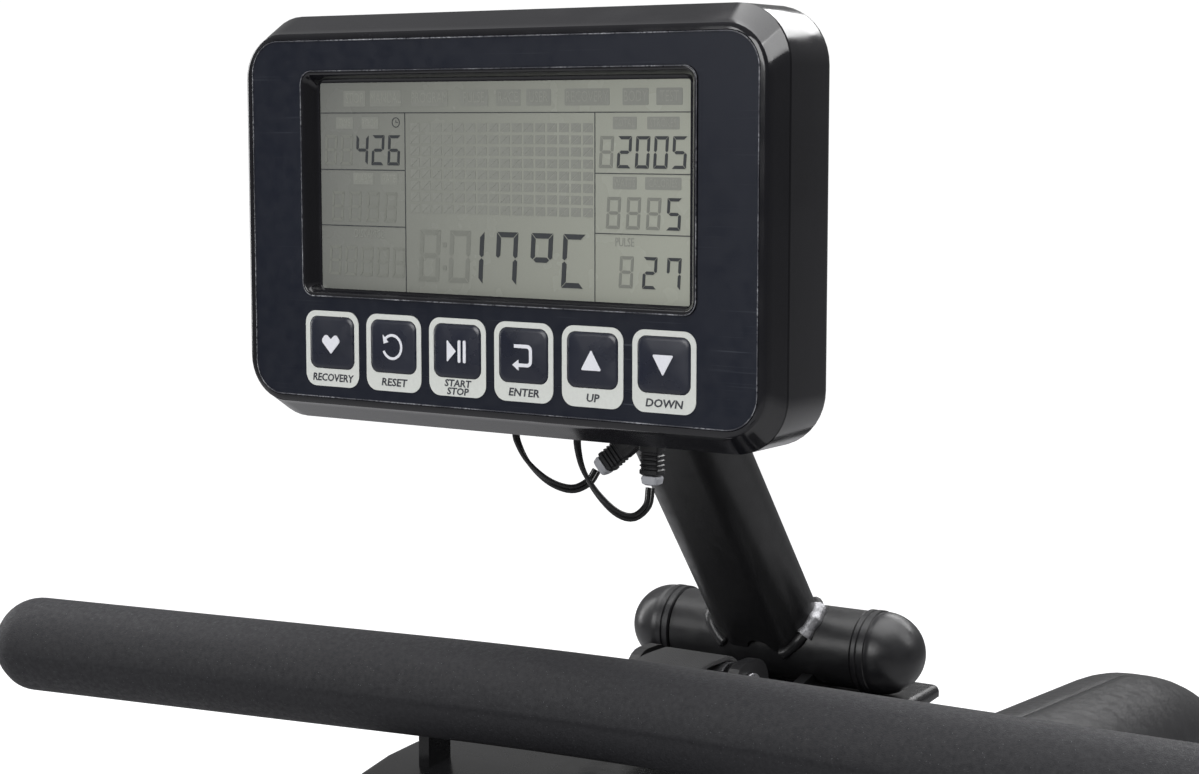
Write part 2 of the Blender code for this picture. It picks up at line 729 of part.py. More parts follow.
def grip_rings():
    left, bend, right = handle_line()
    ends = ((0.0, 0.35), (0.0025, 0.72), (0.008, 0.94), (0.015, 1.0))
    rings = []
    for inset, share in ends:
        place = left + (bend - left).normalized() * inset
        rings.append(circle_ring(place, bend - left, GRIP_RADIUS * share, 24))
    rings.append(circle_ring(bend, right - left, GRIP_RADIUS, 24))
    for inset, share in ends[::-1]:
        place = right + (bend - right).normalized() * inset
        rings.append(circle_ring(place, right - bend, GRIP_RADIUS * share, 24))
    return rings


def build_handle(foam, steel):
    grip = loft("handle_grip", grip_rings(), foam)
    tube("handle_core", handle_line(short=0.012), CORE_RADIUS, steel)
    bore = tube("grip_bore", handle_line(short=0.011), CORE_RADIUS + GAP, None)
    slot_middle = (BRACKET_X, HANDLE_BEND[1] + 0.020, HANDLE_Z)
    cut(grip, bore, box("grip_slot", slot_middle, (0.0206, 0.030, 0.0106), None))
    back = HANDLE_BEND[1] + GRIP_RADIUS + 0.001
    block = ((back + BRACKET_FRONT) / 2, BRACKET_FRONT - back)
    bracket = box("handle_bracket", (BRACKET_X, block[0], 0.7135), (0.044, block[1], 0.025), steel)
    tongue = HANDLE_BEND[1] + CORE_RADIUS + 2 * GAP
    tongue_middle = (BRACKET_X, (tongue + back + 0.005) / 2, HANDLE_Z)
    join(bracket, box("bracket_tongue", tongue_middle, (0.020, back + 0.005 - tongue, 0.010), None))


def strap_line():
    """(y, z) along the middle of the strap, from the handle over the roller to the reel."""
    roller, reel = Vector(ROLLER), Vector(REEL)
    over = ROLLER_RADIUS + GAP + STRAP_THICK / 2
    pack = REEL_PACK + GAP + STRAP_THICK / 2
    run = reel - roller
    lean = math.asin((pack - over) / run.length)
    last = math.atan2(run.y, run.x) + math.pi / 2 + lean
    points = [Vector((BRACKET_FRONT + GAP, ROLLER[1] + over))]
    steps = 6
    for k in range(steps + 1):
        angle = math.pi / 2 + (last - math.pi / 2) * k / steps
        points.append(roller + over * Vector((math.cos(angle), math.sin(angle))))
    points.append(reel + pack * Vector((math.cos(last), math.sin(last))))
    return points


def build_strap(webbing):
    line = strap_line()
    rings = []
    for i, point in enumerate(line):
        ahead = (line[min(i + 1, len(line) - 1)] - line[max(i - 1, 0)]).normalized()
        up = Vector((-ahead.y, ahead.x)) * STRAP_THICK / 2
        middle = BRACKET_X if i == 0 else 0.0
        ring = []
        for x, side in ((-1, -1), (1, -1), (1, 1), (-1, 1)):
            y, z = point + up * side
            ring.append((middle + x * STRAP_WIDE / 2, y, z))
        rings.append(ring)
    loft("strap", rings, webbing)


def build_roller_and_reel(steel, plastic):
    spindle = PLATE_INNER + PLATE_THICK
    half = STRAP_WIDE / 2 + 0.002
    turned("guide_roller", across(ROLLER, 0), [
        (0, spindle),
        (ROLLER_PIN, spindle),
        (ROLLER_PIN, half),
        (ROLLER_RADIUS, half),
        (ROLLER_RADIUS, -half),
        (ROLLER_PIN, -half),
        (ROLLER_PIN, -spindle),
        (0, -spindle),
    ], steel, steps=24)
    flange_in, flange_out = STRAP_WIDE / 2 + 0.0007, PLATE_INNER - 0.002
    turned("strap_reel", across(REEL, 0), [
        (0.058, flange_out),
        (0.058, flange_in),
        (REEL_PACK, flange_in),
        (REEL_PACK, -flange_in),
        (0.058, -flange_in),
        (0.058, -flange_out),
        (0.0083, -flange_out),
        (0.0083, flange_out),
    ], plastic, closed=True, steps=36)


def tray_ring(y, top, half_width, edge):
    """Section of the tray at one y: the top with its round side edges, and the same inside."""
    ring = []
    for inset in (0, TRAY_THICK):
        half, corner = half_width - inset, edge * TRAY_ROUND - inset
        middle = (half - corner, top - edge * TRAY_ROUND)
        side = [(half, top - edge)]
        for k in range(5):
            angle = math.radians(22.5 * k)
            side.append((middle[0] + corner * math.cos(angle), middle[1] + corner * math.sin(angle)))
        path = side + [(-x, height) for x, height in side[::-1]]
        ring.extend(path if inset == 0 else path[::-1])
    return [(x, y, height) for x, height in ring]


def build_tray(steel):
    tray = loft("handle_tray", [tray_ring(*line) for line in TRAY_LINE], steel)
    slot_wide = 2 * (PLATE_INNER + PLATE_THICK + 0.001)
    slot_middle = (0, sum(TRAY_SLOT) / 2, ROLLER[1])
    cut(tray, box("tray_slot", slot_middle, (slot_wide, TRAY_SLOT[1] - TRAY_SLOT[0], 0.10), None))
    for x in (-LUG_X, LUG_X):
        side = HANDLE_LEFT if x < HANDLE_BEND[0] else HANDLE_RIGHT
        share = (x - side[0]) / (HANDLE_BEND[0] - side[0])
        middle = side[1] + share * (HANDLE_BEND[1] - side[1])
        back = middle + GRIP_RADIUS + 0.0015
        hook = rounded((
            (back - 0.006, 0.6835, 0),
            (back + 0.008, 0.6835, 0),
            (back + 0.008, LUG_TOP, 0.003),
            (back, LUG_TOP, 0.003),
            (back, LUG_TOE, 0.002),
            (back - 0.006, LUG_TOE, 0.002),
        ))
        join(tray, flat("handle_lug", [hook], SIDE, x - LUG_WIDE / 2, x + LUG_WIDE / 2, None))


# ---------------------------------------------------------------- drive


def brake_pivot():
    radius = FLYWHEEL_RADIUS + 0.0125
    y = FLYWHEEL[0] + radius * math.cos(BRAKE_PIVOT_ANGLE)
    return (y, FLYWHEEL[1] + radius * math.sin(BRAKE_PIVOT_ANGLE))


def build_flywheel(iron, steel):
    rim, web, hub = 0.0175, 0.006, 0.016
    outer = FLYWHEEL_RADIUS
    turned("flywheel", across(FLYWHEEL, 0), [
        (outer, rim),
        (outer, -rim),
        (outer - 0.035, -rim),
        (outer - 0.038, -web),
        (0.030, -web),
        (0.028, -hub),
        (0.0103, -hub),
        (0.0103, hub),
        (0.028, hub),
        (0.030, web),
        (outer - 0.038, web),
        (outer - 0.035, rim),
    ], iron, closed=True, steps=48)
    near, far = PULLEY_X
    turned("flywheel_shaft", across(FLYWHEEL, 0), [
        (0, 0.043),
        (0.010, 0.043),
        (0.010, far),
        (SMALL_PULLEY, far),
        (SMALL_PULLEY, near),
        (0.010, near),
        (0.010, -0.034),
        (0, -0.034),
    ], steel, steps=28)


def build_pulley(plastic, steel, rubber):
    near, far = PULLEY_X
    middle = (near + far) / 2
    turned("drive_pulley", across(REEL, middle), [
        (PULLEY_RADIUS, 0.005),
        (PULLEY_RADIUS, -0.005),
        (PULLEY_RADIUS - 0.008, -0.005),
        (PULLEY_RADIUS - 0.010, -0.002),
        (0.024, -0.002),
        (0.022, -0.003),
        (0.0083, -0.003),
        (0.0083, 0.005),
        (0.022, 0.005),
        (0.024, 0.002),
        (PULLEY_RADIUS - 0.010, 0.002),
        (PULLEY_RADIUS - 0.008, 0.005),
    ], plastic, closed=True, steps=40)
    rod("reel_shaft", across(REEL, -0.034), across(REEL, 0.043), 0.008, steel, 20)
    # The belt's chords lie inside its true circle, so it clears the pulleys by more than the gap.
    big = (REEL[0], REEL[1], PULLEY_RADIUS + 0.0008)
    small = (FLYWHEEL[0], FLYWHEEL[1], SMALL_PULLEY + 0.0008)
    step = math.radians(10)
    belt = [hull((big, small), step, 0.0025), hull((big, small), step)]
    flat("drive_belt", belt, SIDE, near, far, rubber)


def build_brake(steel, plastic):
    pivot = brake_pivot()
    inner, outer = FLYWHEEL_RADIUS + 0.004, FLYWHEEL_RADIUS + 0.021
    first, last, steps = math.radians(190), BRAKE_PIVOT_ANGLE, 9
    arcs = []
    for radius in (outer, inner):
        arc = []
        for k in range(steps + 1):
            angle = first + (last - first) * k / steps
            y = FLYWHEEL[0] - pivot[0] + radius * math.cos(angle)
            z = FLYWHEEL[1] - pivot[1] + radius * math.sin(angle)
            arc.append((y, z))
        arcs.append(arc)
    arm = flat("brake_arm", [arcs[0] + arcs[1][::-1]], SIDE, -0.016, 0.016, steel, across(pivot, 0))
    spindle = PLATE_INNER + PLATE_THICK
    join(arm, rod("brake_pin", across(pivot, -spindle), across(pivot, spindle), 0.004, None, 16))
    box("brake_motor", (0, 0.690, 0.1620), (0.036, 0.056, 0.062), plastic, edge=0.004)


def build_housing(plastic):
    def rim(sign, wall):
        """Rings from the seam to the flat side of one half."""
        seam = sign * GAP / 2
        if wall:
            seam = -sign * 0.001
        rings = [[(seam, y, z) for y, z in hull(HOUSING_CIRCLES, grow=-wall)]]
        flat_part = HOUSING_HALF - HOUSING_RIM
        radius = HOUSING_RIM - wall
        for k in range(6):
            angle = math.radians(18 * k)
            x = sign * (flat_part + radius * math.sin(angle))
            inset = wall + radius * (1 - math.cos(angle))
            rings.append([(x, y, z) for y, z in hull(HOUSING_CIRCLES, grow=-inset)])
        return rings

    clear = PLATE_INNER + PLATE_THICK + 0.001
    for side, sign in (("left", -1), ("right", 1)):
        shell = loft("housing_" + side, rim(sign, 0), plastic)
        cut(shell, loft("housing_inside", rim(sign, HOUSING_WALL), None))
        neck = flat("neck_opening", [NECK_OPENING], SIDE, -clear, clear, None)
        rail_gate = box("rail_opening", (0, 0.40, 0.17), (2 * clear, 0.12, 0.21), None)
        floor_gate = box("beam_opening", (0, 0.70, 0.08), (2 * clear, 0.62, 0.06), None)
        cut(shell, neck, rail_gate, floor_gate)


# ---------------------------------------------------------------- pedals


def pedal_point(x, along, above):
    """World point from a distance along the footplate (to the toe) and above its pivot."""
    c, s = math.cos(PEDAL_TILT), math.sin(PEDAL_TILT)
    return (x, PEDAL_PIVOT[0] + along * c - above * s, PEDAL_PIVOT[1] + along * s + above * c)


def build_pedals(steel, plastic, webbing):
    rod("pedal_bar", across(PEDAL_PIVOT, -0.205), across(PEDAL_PIVOT, 0.205), 0.008, steel, 20)
    for side, sign in (("left", -1), ("right", 1)):
        x = sign * PEDAL_X
        pivot = across(PEDAL_PIVOT, x)

        def piece(name, along, above, size, look=None, edge=0.0):
            return box(name, pedal_point(x, along, above), size, look, PEDAL_TILT, edge, pivot)

        size = (PEDAL_WIDE, PEDAL_LONG, PEDAL_THICK)
        pedal = piece("footplate_" + side, 0.020, PEDAL_LIFT, size, plastic)
        join(
            pedal,
            piece("pedal_hub", 0.0, PEDAL_LIFT / 2 - 0.008, (0.060, 0.036, PEDAL_LIFT + 0.010)),
            piece("heel_stop", -0.124, PEDAL_LIFT + 0.018, (PEDAL_WIDE, 0.012, 0.030)),
            piece("grip_rib", -0.090, PEDAL_LIFT + 0.007, (PEDAL_WIDE, 0.006, 0.005)),
        )
        ends = across(PEDAL_PIVOT, x - 0.1), across(PEDAL_PIVOT, x + 0.1)
        cut(pedal, rod("pedal_bore", *ends, 0.0086, None, 20))
        # The strap stands on the plate as an arch that a shoe goes under.
        base = PEDAL_LIFT + PEDAL_THICK / 2 + GAP
        wide, high, thick = 0.056, 0.070, 0.004
        outside = arch(wide, high, 0.0)
        inside = arch(wide, high, thick)
        outline = [(u, v + base) for u, v in outside + inside[::-1]]
        flat("foot_strap_" + side, [outline], FRONT, -0.075, -0.035, webbing, pivot, PEDAL_TILT)


def arch(half, high, inset):
    """An open arch from its right foot over the top to its left foot."""
    corner = 0.034 - inset
    u, v = half - inset, high - inset
    points = [(u, 0)]
    for middle, start in (((u - corner), 0), (-(u - corner), 90)):
        for k in range(7):
            angle = math.radians(start + 15 * k)
            points.append((middle + corner * math.cos(angle), v - corner + corner * math.sin(angle)))
    points.append((-u, 0))
    return points


# ---------------------------------------------------------------- seat


def build_seat(padding, steel, rubber):
    rest = SEAT_Y / math.cos(RAIL_TILT)
    origin = on_rail(rest, 0)
    thick = 0.004
    side = CARRIAGE_SIDE
    low = -(RAIL_HIGH / 2 + 2 * WHEEL_RADIUS + 0.004)
    inner, ceiling = side - thick, CARRIAGE_TOP - 0.006
    channel = (
        (-side, low),
        (-inner, low),
        (-inner, ceiling),
        (inner, ceiling),
        (inner, low),
        (side, low),
        (side, CARRIAGE_TOP),
        (-side, CARRIAGE_TOP),
    )
    span = -CARRIAGE_HALF, CARRIAGE_HALF
    carriage = flat("seat_carriage", [channel], FRONT, *span, steel, origin, -RAIL_TILT)
    reach = RAIL_HIGH / 2 + WHEEL_RADIUS + GAP
    for tag, along, above in (
        ("front_top", 1, 1), ("rear_top", -1, 1), ("front_bottom", 1, -1), ("rear_bottom", -1, -1),
    ):
        def place(x):
            return on_rail(rest + along * WHEEL_OFFSET, above * reach, x)

        join(carriage, rod("wheel_axle", place(-side + 0.001), place(side - 0.001), 0.004, None, 16))
        wheel = ring_profile(WHEEL_RADIUS, 0.0045, 0.013)
        turned("seat_wheel_" + tag, place(0), wheel, rubber, closed=True, steps=24)
    base = CARRIAGE_TOP + GAP
    rings = []
    for height, inset in ((0, 0.012), (0.010, 0.0), (0.040, 0.0), (0.050, 0.008), (SEAT_THICK, 0.030)):
        outline = rounded_box(SEAT_HALF[0] - inset, SEAT_HALF[1] - inset, 0.070 - inset)
        rings.append([on_rail(rest + v, base + height, u) for u, v in outline])
    loft("seat_cushion", rings, padding, origin)


def main():
    global PARTS, CUTTERS
    PARTS, CUTTERS = start_scene()
    steel = material("black_coated_steel", (0.012, 0.012, 0.013), 0.38, 0.0)
    bright = material("plated_steel", (0.55, 0.55, 0.56), 0.3, 1.0)
    iron = material("cast_iron", (0.10, 0.10, 0.11), 0.45, 1.0)
    aluminium = material("anodised_aluminium", (0.36, 0.37, 0.38), 0.35, 1.0)
    gloss = material("gloss_black_plastic", (0.008, 0.008, 0.010), 0.12)
    satin = material("satin_black_plastic", (0.014, 0.014, 0.016), 0.32)
    grey = material("grey_plastic", (0.10, 0.10, 0.11), 0.5)
    film = material("console_film", (0.012, 0.015, 0.030), 0.3)
    glass = material("lcd_glass", (0.40, 0.41, 0.33), 0.25)
    board = material("circuit_board", (0.02, 0.10, 0.04), 0.5)
    foam = material("handle_foam", (0.020, 0.020, 0.022), 0.85)
    rubber = material("black_rubber", (0.015, 0.015, 0.015), 0.75)
    webbing = material("woven_webbing", (0.018, 0.018, 0.020), 0.9)
    padding = material("seat_padding", (0.020, 0.020, 0.022), 0.6)
    build_front_stabilizer(steel, rubber, grey)
    build_rear_leg(steel, rubber)
    build_plates(steel)
    build_rail(aluminium, satin, steel)
    build_crossbar(steel, satin)
    build_mast(steel)
    build_console_shells(gloss)
    build_console_face(film, glass, board, steel)
    build_keys(satin)
    build_leads(rubber, grey)
    build_handle(foam, bright)
    build_strap(webbing)
    build_roller_and_reel(bright, grey)
    build_tray(steel)
    build_flywheel(iron, bright)
    build_pulley(grey, bright, rubber)
    build_brake(steel, grey)
    build_housing(satin)
    build_pedals(bright, satin, webbing)
    build_seat(padding, steel, rubber)


main()
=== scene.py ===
"""Looks of the rowing machine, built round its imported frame. Lengths are in metres.

+Y is the front, +X the rower's right and Z = 0 the floor. Places in the side view are written (y, z).
"""

import json
import math

import bmesh
import bpy
from mathutils import Matrix, Vector


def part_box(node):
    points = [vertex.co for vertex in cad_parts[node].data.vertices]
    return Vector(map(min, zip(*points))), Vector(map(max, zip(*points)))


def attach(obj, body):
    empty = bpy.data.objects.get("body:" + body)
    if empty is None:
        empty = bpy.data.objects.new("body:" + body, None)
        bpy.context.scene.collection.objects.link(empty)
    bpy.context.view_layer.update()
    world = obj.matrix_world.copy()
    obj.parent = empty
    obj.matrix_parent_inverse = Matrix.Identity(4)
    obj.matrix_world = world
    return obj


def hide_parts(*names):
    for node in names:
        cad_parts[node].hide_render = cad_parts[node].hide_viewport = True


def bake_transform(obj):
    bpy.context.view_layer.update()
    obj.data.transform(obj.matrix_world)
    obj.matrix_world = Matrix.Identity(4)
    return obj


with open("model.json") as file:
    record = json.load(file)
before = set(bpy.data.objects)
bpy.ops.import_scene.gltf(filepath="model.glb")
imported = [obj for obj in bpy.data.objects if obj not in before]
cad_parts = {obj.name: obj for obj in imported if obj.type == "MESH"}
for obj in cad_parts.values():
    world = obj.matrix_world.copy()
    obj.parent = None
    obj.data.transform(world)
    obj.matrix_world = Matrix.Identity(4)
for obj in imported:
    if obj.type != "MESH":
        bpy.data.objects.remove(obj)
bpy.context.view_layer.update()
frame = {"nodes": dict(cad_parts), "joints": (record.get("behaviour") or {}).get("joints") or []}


def middle_of(node):
    low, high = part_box(node)
    return (low + high) / 2


def joint(name):
    return next(j for j in frame["joints"] if j["name"] == name)


# Console: the middle of its face, its rim and its seam, as half sizes.
FACE = Vector((0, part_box("console_overlay")[0].y, middle_of("console_overlay").z))
RIM_HALF = (0.117, 0.0713)
RIM_CORNER = 0.0175
SEAM_HALF = (0.1185, 0.078)
SEAM_CORNER = 0.021
SEAM_DEPTH = 0.012
CONSOLE_DEPTH = 0.0435
FILM_HALF = (0.1130, 0.06785)
FILM_CORNER = 0.0125
WINDOW = (-0.0875, 0.0879, -0.0281, 0.0556)
GLASS = (-0.0835, 0.0832, -0.0264, 0.0522)
GLASS_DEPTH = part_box("lcd_panel")[0].y - FACE.y
KEYS = ("recovery", "reset", "start", "enter", "up", "down")
KEY_LABELS = (("RECOVERY",), ("RESET",), ("START", "STOP"), ("ENTER",), ("UP",), ("DOWN",))
KEY_HALF = (0.0109, 0.0100)
KEY_FRAME_HALF = (0.01315, 0.01455)
KEY_FRAME_DROP = 0.0024

# Crossbar, mast and roller.
CROSSBAR = Vector(middle_of("crossbar"))
CROSSBAR_RADIUS = 0.0175
CROSSBAR_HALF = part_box("crossbar_cap_right")[1].x
CAP_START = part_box("crossbar_cap_right")[0].x
MAST_LEAN = math.radians(37.6)
MAST_HALF = (0.025, 0.015)
MAST_WALL = 0.002
ROLLER = Vector(middle_of("guide_roller"))
ROLLER_RADIUS = 0.012
STRAP_WIDE = 0.032
STRAP_THICK = 0.002
REEL = Vector(middle_of("strap_reel"))
REEL_PACK = 0.0453

# Handle.
GRIP_RADIUS = 0.01925
HANDLE_Z = middle_of("handle_grip").z
HANDLE_POINTS = ((-0.236, 0.1960), (0.028, 0.2420), (0.292, 0.2435))
# The tray, from the rower forwards: y, top, half width and depth of its side edge.
TRAY_LINE = (
    (0.1950, 0.6800, 0.0520, 0.0160),
    (0.1985, 0.6804, 0.0600, 0.0160),
    (0.2060, 0.6809, 0.0665, 0.0160),
    (0.2180, 0.6818, 0.0720, 0.0160),
    (0.2320, 0.6830, 0.0758, 0.0160),
    (0.2500, 0.6850, 0.0780, 0.0155),
    (0.2680, 0.6862, 0.0780, 0.0145),
    (0.3600, 0.6872, 0.0750, 0.0090),
    (0.4640, 0.6880, 0.0680, 0.0050),
)
TRAY_THICK = 0.0025
TRAY_ROUND = 0.6
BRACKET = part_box("handle_bracket")

# Rail: the slide's axis gives its tilt.
RAIL_BACK = Vector(joint("seat_slide")["axis"])
RAIL_UP = Vector((0, RAIL_BACK.z, -RAIL_BACK.y))
RAIL_ORIGIN = Vector((0, 0, 0.230))
RAIL_HALF = (0.0217, 0.040)
SEAT_Y = middle_of("seat_carriage").y
SEAT_HALF = (0.145, 0.120)
SEAT_BASE = 0.0863  # cushion's underside above the rail's centre line

# Pedals: pivot and tilt.
PEDAL_PIVOT = Vector(joint("pedal_tilt_right")["pos_m"])
PEDAL_TILT = math.radians(42)

HOUSING_RIM = 0.045
HOUSING_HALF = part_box("housing_right")[1].x
FLYWHEEL = Vector(joint("flywheel_spin")["pos_m"])
HOUSING_CIRCLES = (
    (FLYWHEEL.y, FLYWHEEL.z, 0.210),
    (0.520, 0.557, 0.061),
    (0.470, 0.140, 0.055),
    (0.955, 0.140, 0.055),
)

LEADS = {
    "left": (
        (-0.0095, 0.2500, 0.8215),
        (-0.0090, 0.2502, 0.8165),
        (-0.0048, 0.2515, 0.8085),
        (0.0030, 0.2540, 0.8015),
        (0.0100, 0.2590, 0.7985),
        (0.0148, 0.2635, 0.8010),
        (0.0172, 0.2655, 0.8055),
    ),
    "right": (
        (0.0198, 0.2485, 0.8215),
        (0.0200, 0.2486, 0.8160),
        (0.0222, 0.2490, 0.8080),
        (0.0275, 0.2505, 0.7995),
        (0.0340, 0.2535, 0.7925),
        (0.0388, 0.2580, 0.7905),
        (0.0420, 0.2625, 0.7945),
        (0.0420, 0.2645, 0.8010),
    ),
}

CAMERA_PLACE = Vector((0.503, -0.681, 0.037)) + FACE
CAMERA_LOOK = Vector((-0.5513, 0.8266, -0.1132))
CAMERA_LENS = 69.57


# ---------------------------------------------------------------- materials


class Look:
    """A Principled material with helpers for its procedural parts."""

    def __init__(self, name):
        self.material = bpy.data.materials.new(name)
        self.material.use_nodes = True
        self.tree = self.material.node_tree
        self.shader = self.tree.nodes["Principled BSDF"]
        self.coordinates = self.node("ShaderNodeTexCoord").outputs["Object"]

    def node(self, kind, **settings):
        made = self.tree.nodes.new(kind)
        for key, value in settings.items():
            setattr(made, key, value)
        return made

    def link(self, source, target):
        self.tree.links.new(source, target)

    def set(self, socket, value):
        self.shader.inputs[socket].default_value = value

    def stretch(self, scale, turn=(0, 0, 0)):
        """Object coordinates, turned and scaled."""
        mapping = self.node("ShaderNodeMapping")
        mapping.inputs["Scale"].default_value = scale
        mapping.inputs["Rotation"].default_value = turn
        self.link(self.coordinates, mapping.inputs["Vector"])
        return mapping.outputs["Vector"]

    def noise(self, scale, detail=2.0, vector=None, roughness=0.5):
        made = self.node("ShaderNodeTexNoise")
        made.inputs["Scale"].default_value = scale
        made.inputs["Detail"].default_value = detail
        made.inputs["Roughness"].default_value = roughness
        self.link(vector or self.coordinates, made.inputs["Vector"])
        return made.outputs["Fac"]

    def cells(self, scale, feature="F1", vector=None, output="Distance"):
        made = self.node("ShaderNodeTexVoronoi", feature=feature)
        made.inputs["Scale"].default_value = scale
        self.link(vector or self.coordinates, made.inputs["Vector"])
        return made.outputs[output]

    def wave(self, scale, direction, vector=None, profile="SIN"):
        made = self.node("ShaderNodeTexWave", bands_direction=direction, wave_profile=profile)
        made.inputs["Scale"].default_value = scale
        self.link(vector or self.coordinates, made.inputs["Vector"])
        return made.outputs["Fac"]

    def spread(self, source, low, high, to_low=0.0, to_high=1.0):
        """A value's range from low to high becomes another, clamped."""
        made = self.node("ShaderNodeMapRange", clamp=True)
        for key, value in (("From Min", low), ("From Max", high), ("To Min", to_low), ("To Max", to_high)):
            made.inputs[key].default_value = value
        self.link(source, made.inputs["Value"])
        return made.outputs["Result"]

    def math(self, operation, first, second):
        made = self.node("ShaderNodeMath", operation=operation)
        for socket, value in zip(made.inputs, (first, second)):
            if isinstance(value, (int, float)):
                socket.default_value = value
            else:
                self.link(value, socket)
        return made.outputs["Value"]

    def blend(self, share, first, second):
        """A colour between two, by a value from 0 to 1."""
        made = self.node("ShaderNodeMix", data_type="RGBA")
        if isinstance(share, (int, float)):
            made.inputs["Factor"].default_value = share
        else:
            self.link(share, made.inputs["Factor"])
        for socket, value in ((made.inputs[6], first), (made.inputs[7], second)):
            if isinstance(value, tuple):
                socket.default_value = (*value, 1.0)
            else:
                self.link(value, socket)
        return made.outputs[2]

    def colour(self, source):
        self.link(source, self.shader.inputs["Base Color"])

    def roughness(self, source):
        self.link(source, self.shader.inputs["Roughness"])

    def bump(self, height, strength, distance):
        made = self.node("ShaderNodeBump")
        made.inputs["Strength"].default_value = strength
        made.inputs["Distance"].default_value = distance
        self.link(height, made.inputs["Height"])
        self.link(made.outputs["Normal"], self.shader.inputs["Normal"])


def tone(colour, factor):
    return tuple(min(1.0, c * factor) for c in colour)


def plain_look(name, colour, rough, metallic=0.0, mottle=(35, 0.25), wear=(160, 0.08), grain=(1400, 0.25, 0.00008)):
    """Colour mottled over a hand's width, roughness that varies, and a fine moulded or sprayed grain."""
    look = Look(name)
    look.set("Metallic", metallic)
    look.colour(look.blend(look.noise(mottle[0], 3), tone(colour, 1 - mottle[1]), tone(colour, 1 + mottle[1])))
    look.roughness(look.spread(look.noise(wear[0], 4), 0.3, 0.7, rough - wear[1], rough + wear[1]))
    if grain:
        look.bump(look.noise(grain[0], 2), grain[1], grain[2])
    return look.material


def gloss_look():
    """Polished black moulding with faint dust and wipe marks."""
    look = Look("gloss_black")
    dust = look.spread(look.cells(900), 0.05, 0.11, 1.0, 0.0)
    patches = look.spread(look.noise(22, 3), 0.5, 0.72)
    dusty = look.math("MULTIPLY", dust, patches)
    look.colour(look.blend(dusty, (0.0062, 0.0062, 0.0085), (0.09, 0.09, 0.10)))
    look.roughness(look.spread(look.noise(60, 4), 0.35, 0.75, 0.08, 0.2))
    look.bump(look.noise(45, 2), 0.12, 0.0006)
    return look.material


def film_look():
    """Navy black printed film with hairline scratches and dust."""
    look = Look("console_film")
    lines = None
    for turn, seed in ((0.35, 0.0), (-0.75, 0.3), (1.25, 0.7)):
        vector = look.stretch((18, 1, 900), (0, turn, seed))
        streak = look.spread(look.noise(1.0, 1, vector), 0.70, 0.78)
        lines = streak if lines is None else look.math("MAXIMUM", lines, streak)
    worn = look.spread(look.noise(30, 3), 0.45, 0.7)
    dust = look.spread(look.cells(1300), 0.06, 0.12, 1.0, 0.0)
    marks = look.math("MULTIPLY", look.math("MAXIMUM", lines, dust), worn)
    look.set("Specular IOR Level", 0.22)
    base = look.blend(look.noise(14, 3), (0.0075, 0.0095, 0.0170), (0.0105, 0.0130, 0.0225))
    look.colour(look.blend(look.math("MULTIPLY", marks, 0.35), base, (0.10, 0.11, 0.13)))
    look.roughness(look.spread(look.noise(220, 3), 0.3, 0.7, 0.30, 0.44))
    look.bump(look.noise(2600, 2), 0.18, 0.00005)
    return look.material


def lcd_look():
    """Grey green reflective display with painted light: coloured lighter and greener to the right and darker to the
    left, with a fine cell pattern.
    """
    look = Look("lcd_face")
    across = look.node("ShaderNodeSeparateXYZ")
    look.link(look.coordinates, across.inputs["Vector"])
    # Painted light: the base colour ramps from darker on the left to lighter on the right across the face.
    share = look.spread(across.outputs["X"], -0.08, 0.08)
    base = look.blend(share, (0.195, 0.200, 0.184), (0.385, 0.398, 0.340))
    fine = look.spread(look.noise(3500, 1), 0.3, 0.7, 0.0, 0.10)
    look.colour(look.blend(fine, base, (0.17, 0.18, 0.16)))
    look.roughness(look.spread(look.noise(90, 2), 0.3, 0.7, 0.20, 0.30))
    look.set("Specular IOR Level", 0.35)
    return look.material


def ink_look(name, colour, rough=0.45):
    look = Look(name)
    look.colour(look.blend(look.noise(900, 2), tone(colour, 0.92), tone(colour, 1.06)))
    look.roughness(look.spread(look.noise(400, 2), 0.3, 0.7, rough - 0.05, rough + 0.05))
    return look.material


def foam_look():
    """Closed-cell foam: fine pores, scattered bright specks and a soft sheen."""
    look = Look("handle_foam")
    specks = look.spread(look.cells(1150), 0.05, 0.10, 1.0, 0.0)
    chosen = look.spread(look.cells(1150, output="Color"), 0.62, 0.70)
    bright = look.math("MULTIPLY", specks, chosen)
    base = look.blend(look.noise(700, 3), (0.0100, 0.0100, 0.0120), (0.0280, 0.0280, 0.0315))
    look.colour(look.blend(look.math("MULTIPLY", bright, 0.9), base, (0.36, 0.36, 0.39)))
    look.roughness(look.spread(look.noise(500, 2), 0.3, 0.7, 0.58, 0.76))
    look.set("Specular IOR Level", 0.32)
    look.bump(
        look.math("ADD", look.noise(1900, 3), look.math("MULTIPLY", look.noise(520, 2), 0.6)), 0.6, 0.00025,
    )
    return look.material


def webbing_look(name, across="X", along="Y", colour=(0.016, 0.016, 0.018)):
    """Plain weave: yarns across and along, raised where they cross over."""
    look = Look(name)
    warp = look.wave(330, across)
    weft = look.wave(330, along)
    weave = look.math("ABSOLUTE", look.math("SUBTRACT", warp, weft), 0.0)
    fuzz = look.noise(2200, 2)
    look.colour(look.blend(weave, tone(colour, 0.4), tone(colour, 1.3)))
    look.roughness(look.spread(fuzz, 0.3, 0.7, 0.72, 0.92))
    look.set("Sheen Weight", 0.15)
    look.bump(look.math("ADD", weave, look.math("MULTIPLY", fuzz, 0.4)), 0.8, 0.0004)
    return look.material


def brushed_look(name, colour, rough, along=(1, 1, 1)):
    """Metal with fine lines along one way."""
    look = Look(name)
    look.set("Metallic", 1.0)
    vector = look.stretch(along)
    lines = look.noise(1.0, 3, vector)
    look.colour(look.blend(lines, tone(colour, 0.85), tone(colour, 1.12)))
    look.roughness(look.spread(lines, 0.3, 0.7, rough - 0.08, rough + 0.1))
    look.bump(lines, 0.12, 0.00005)
    return look.material


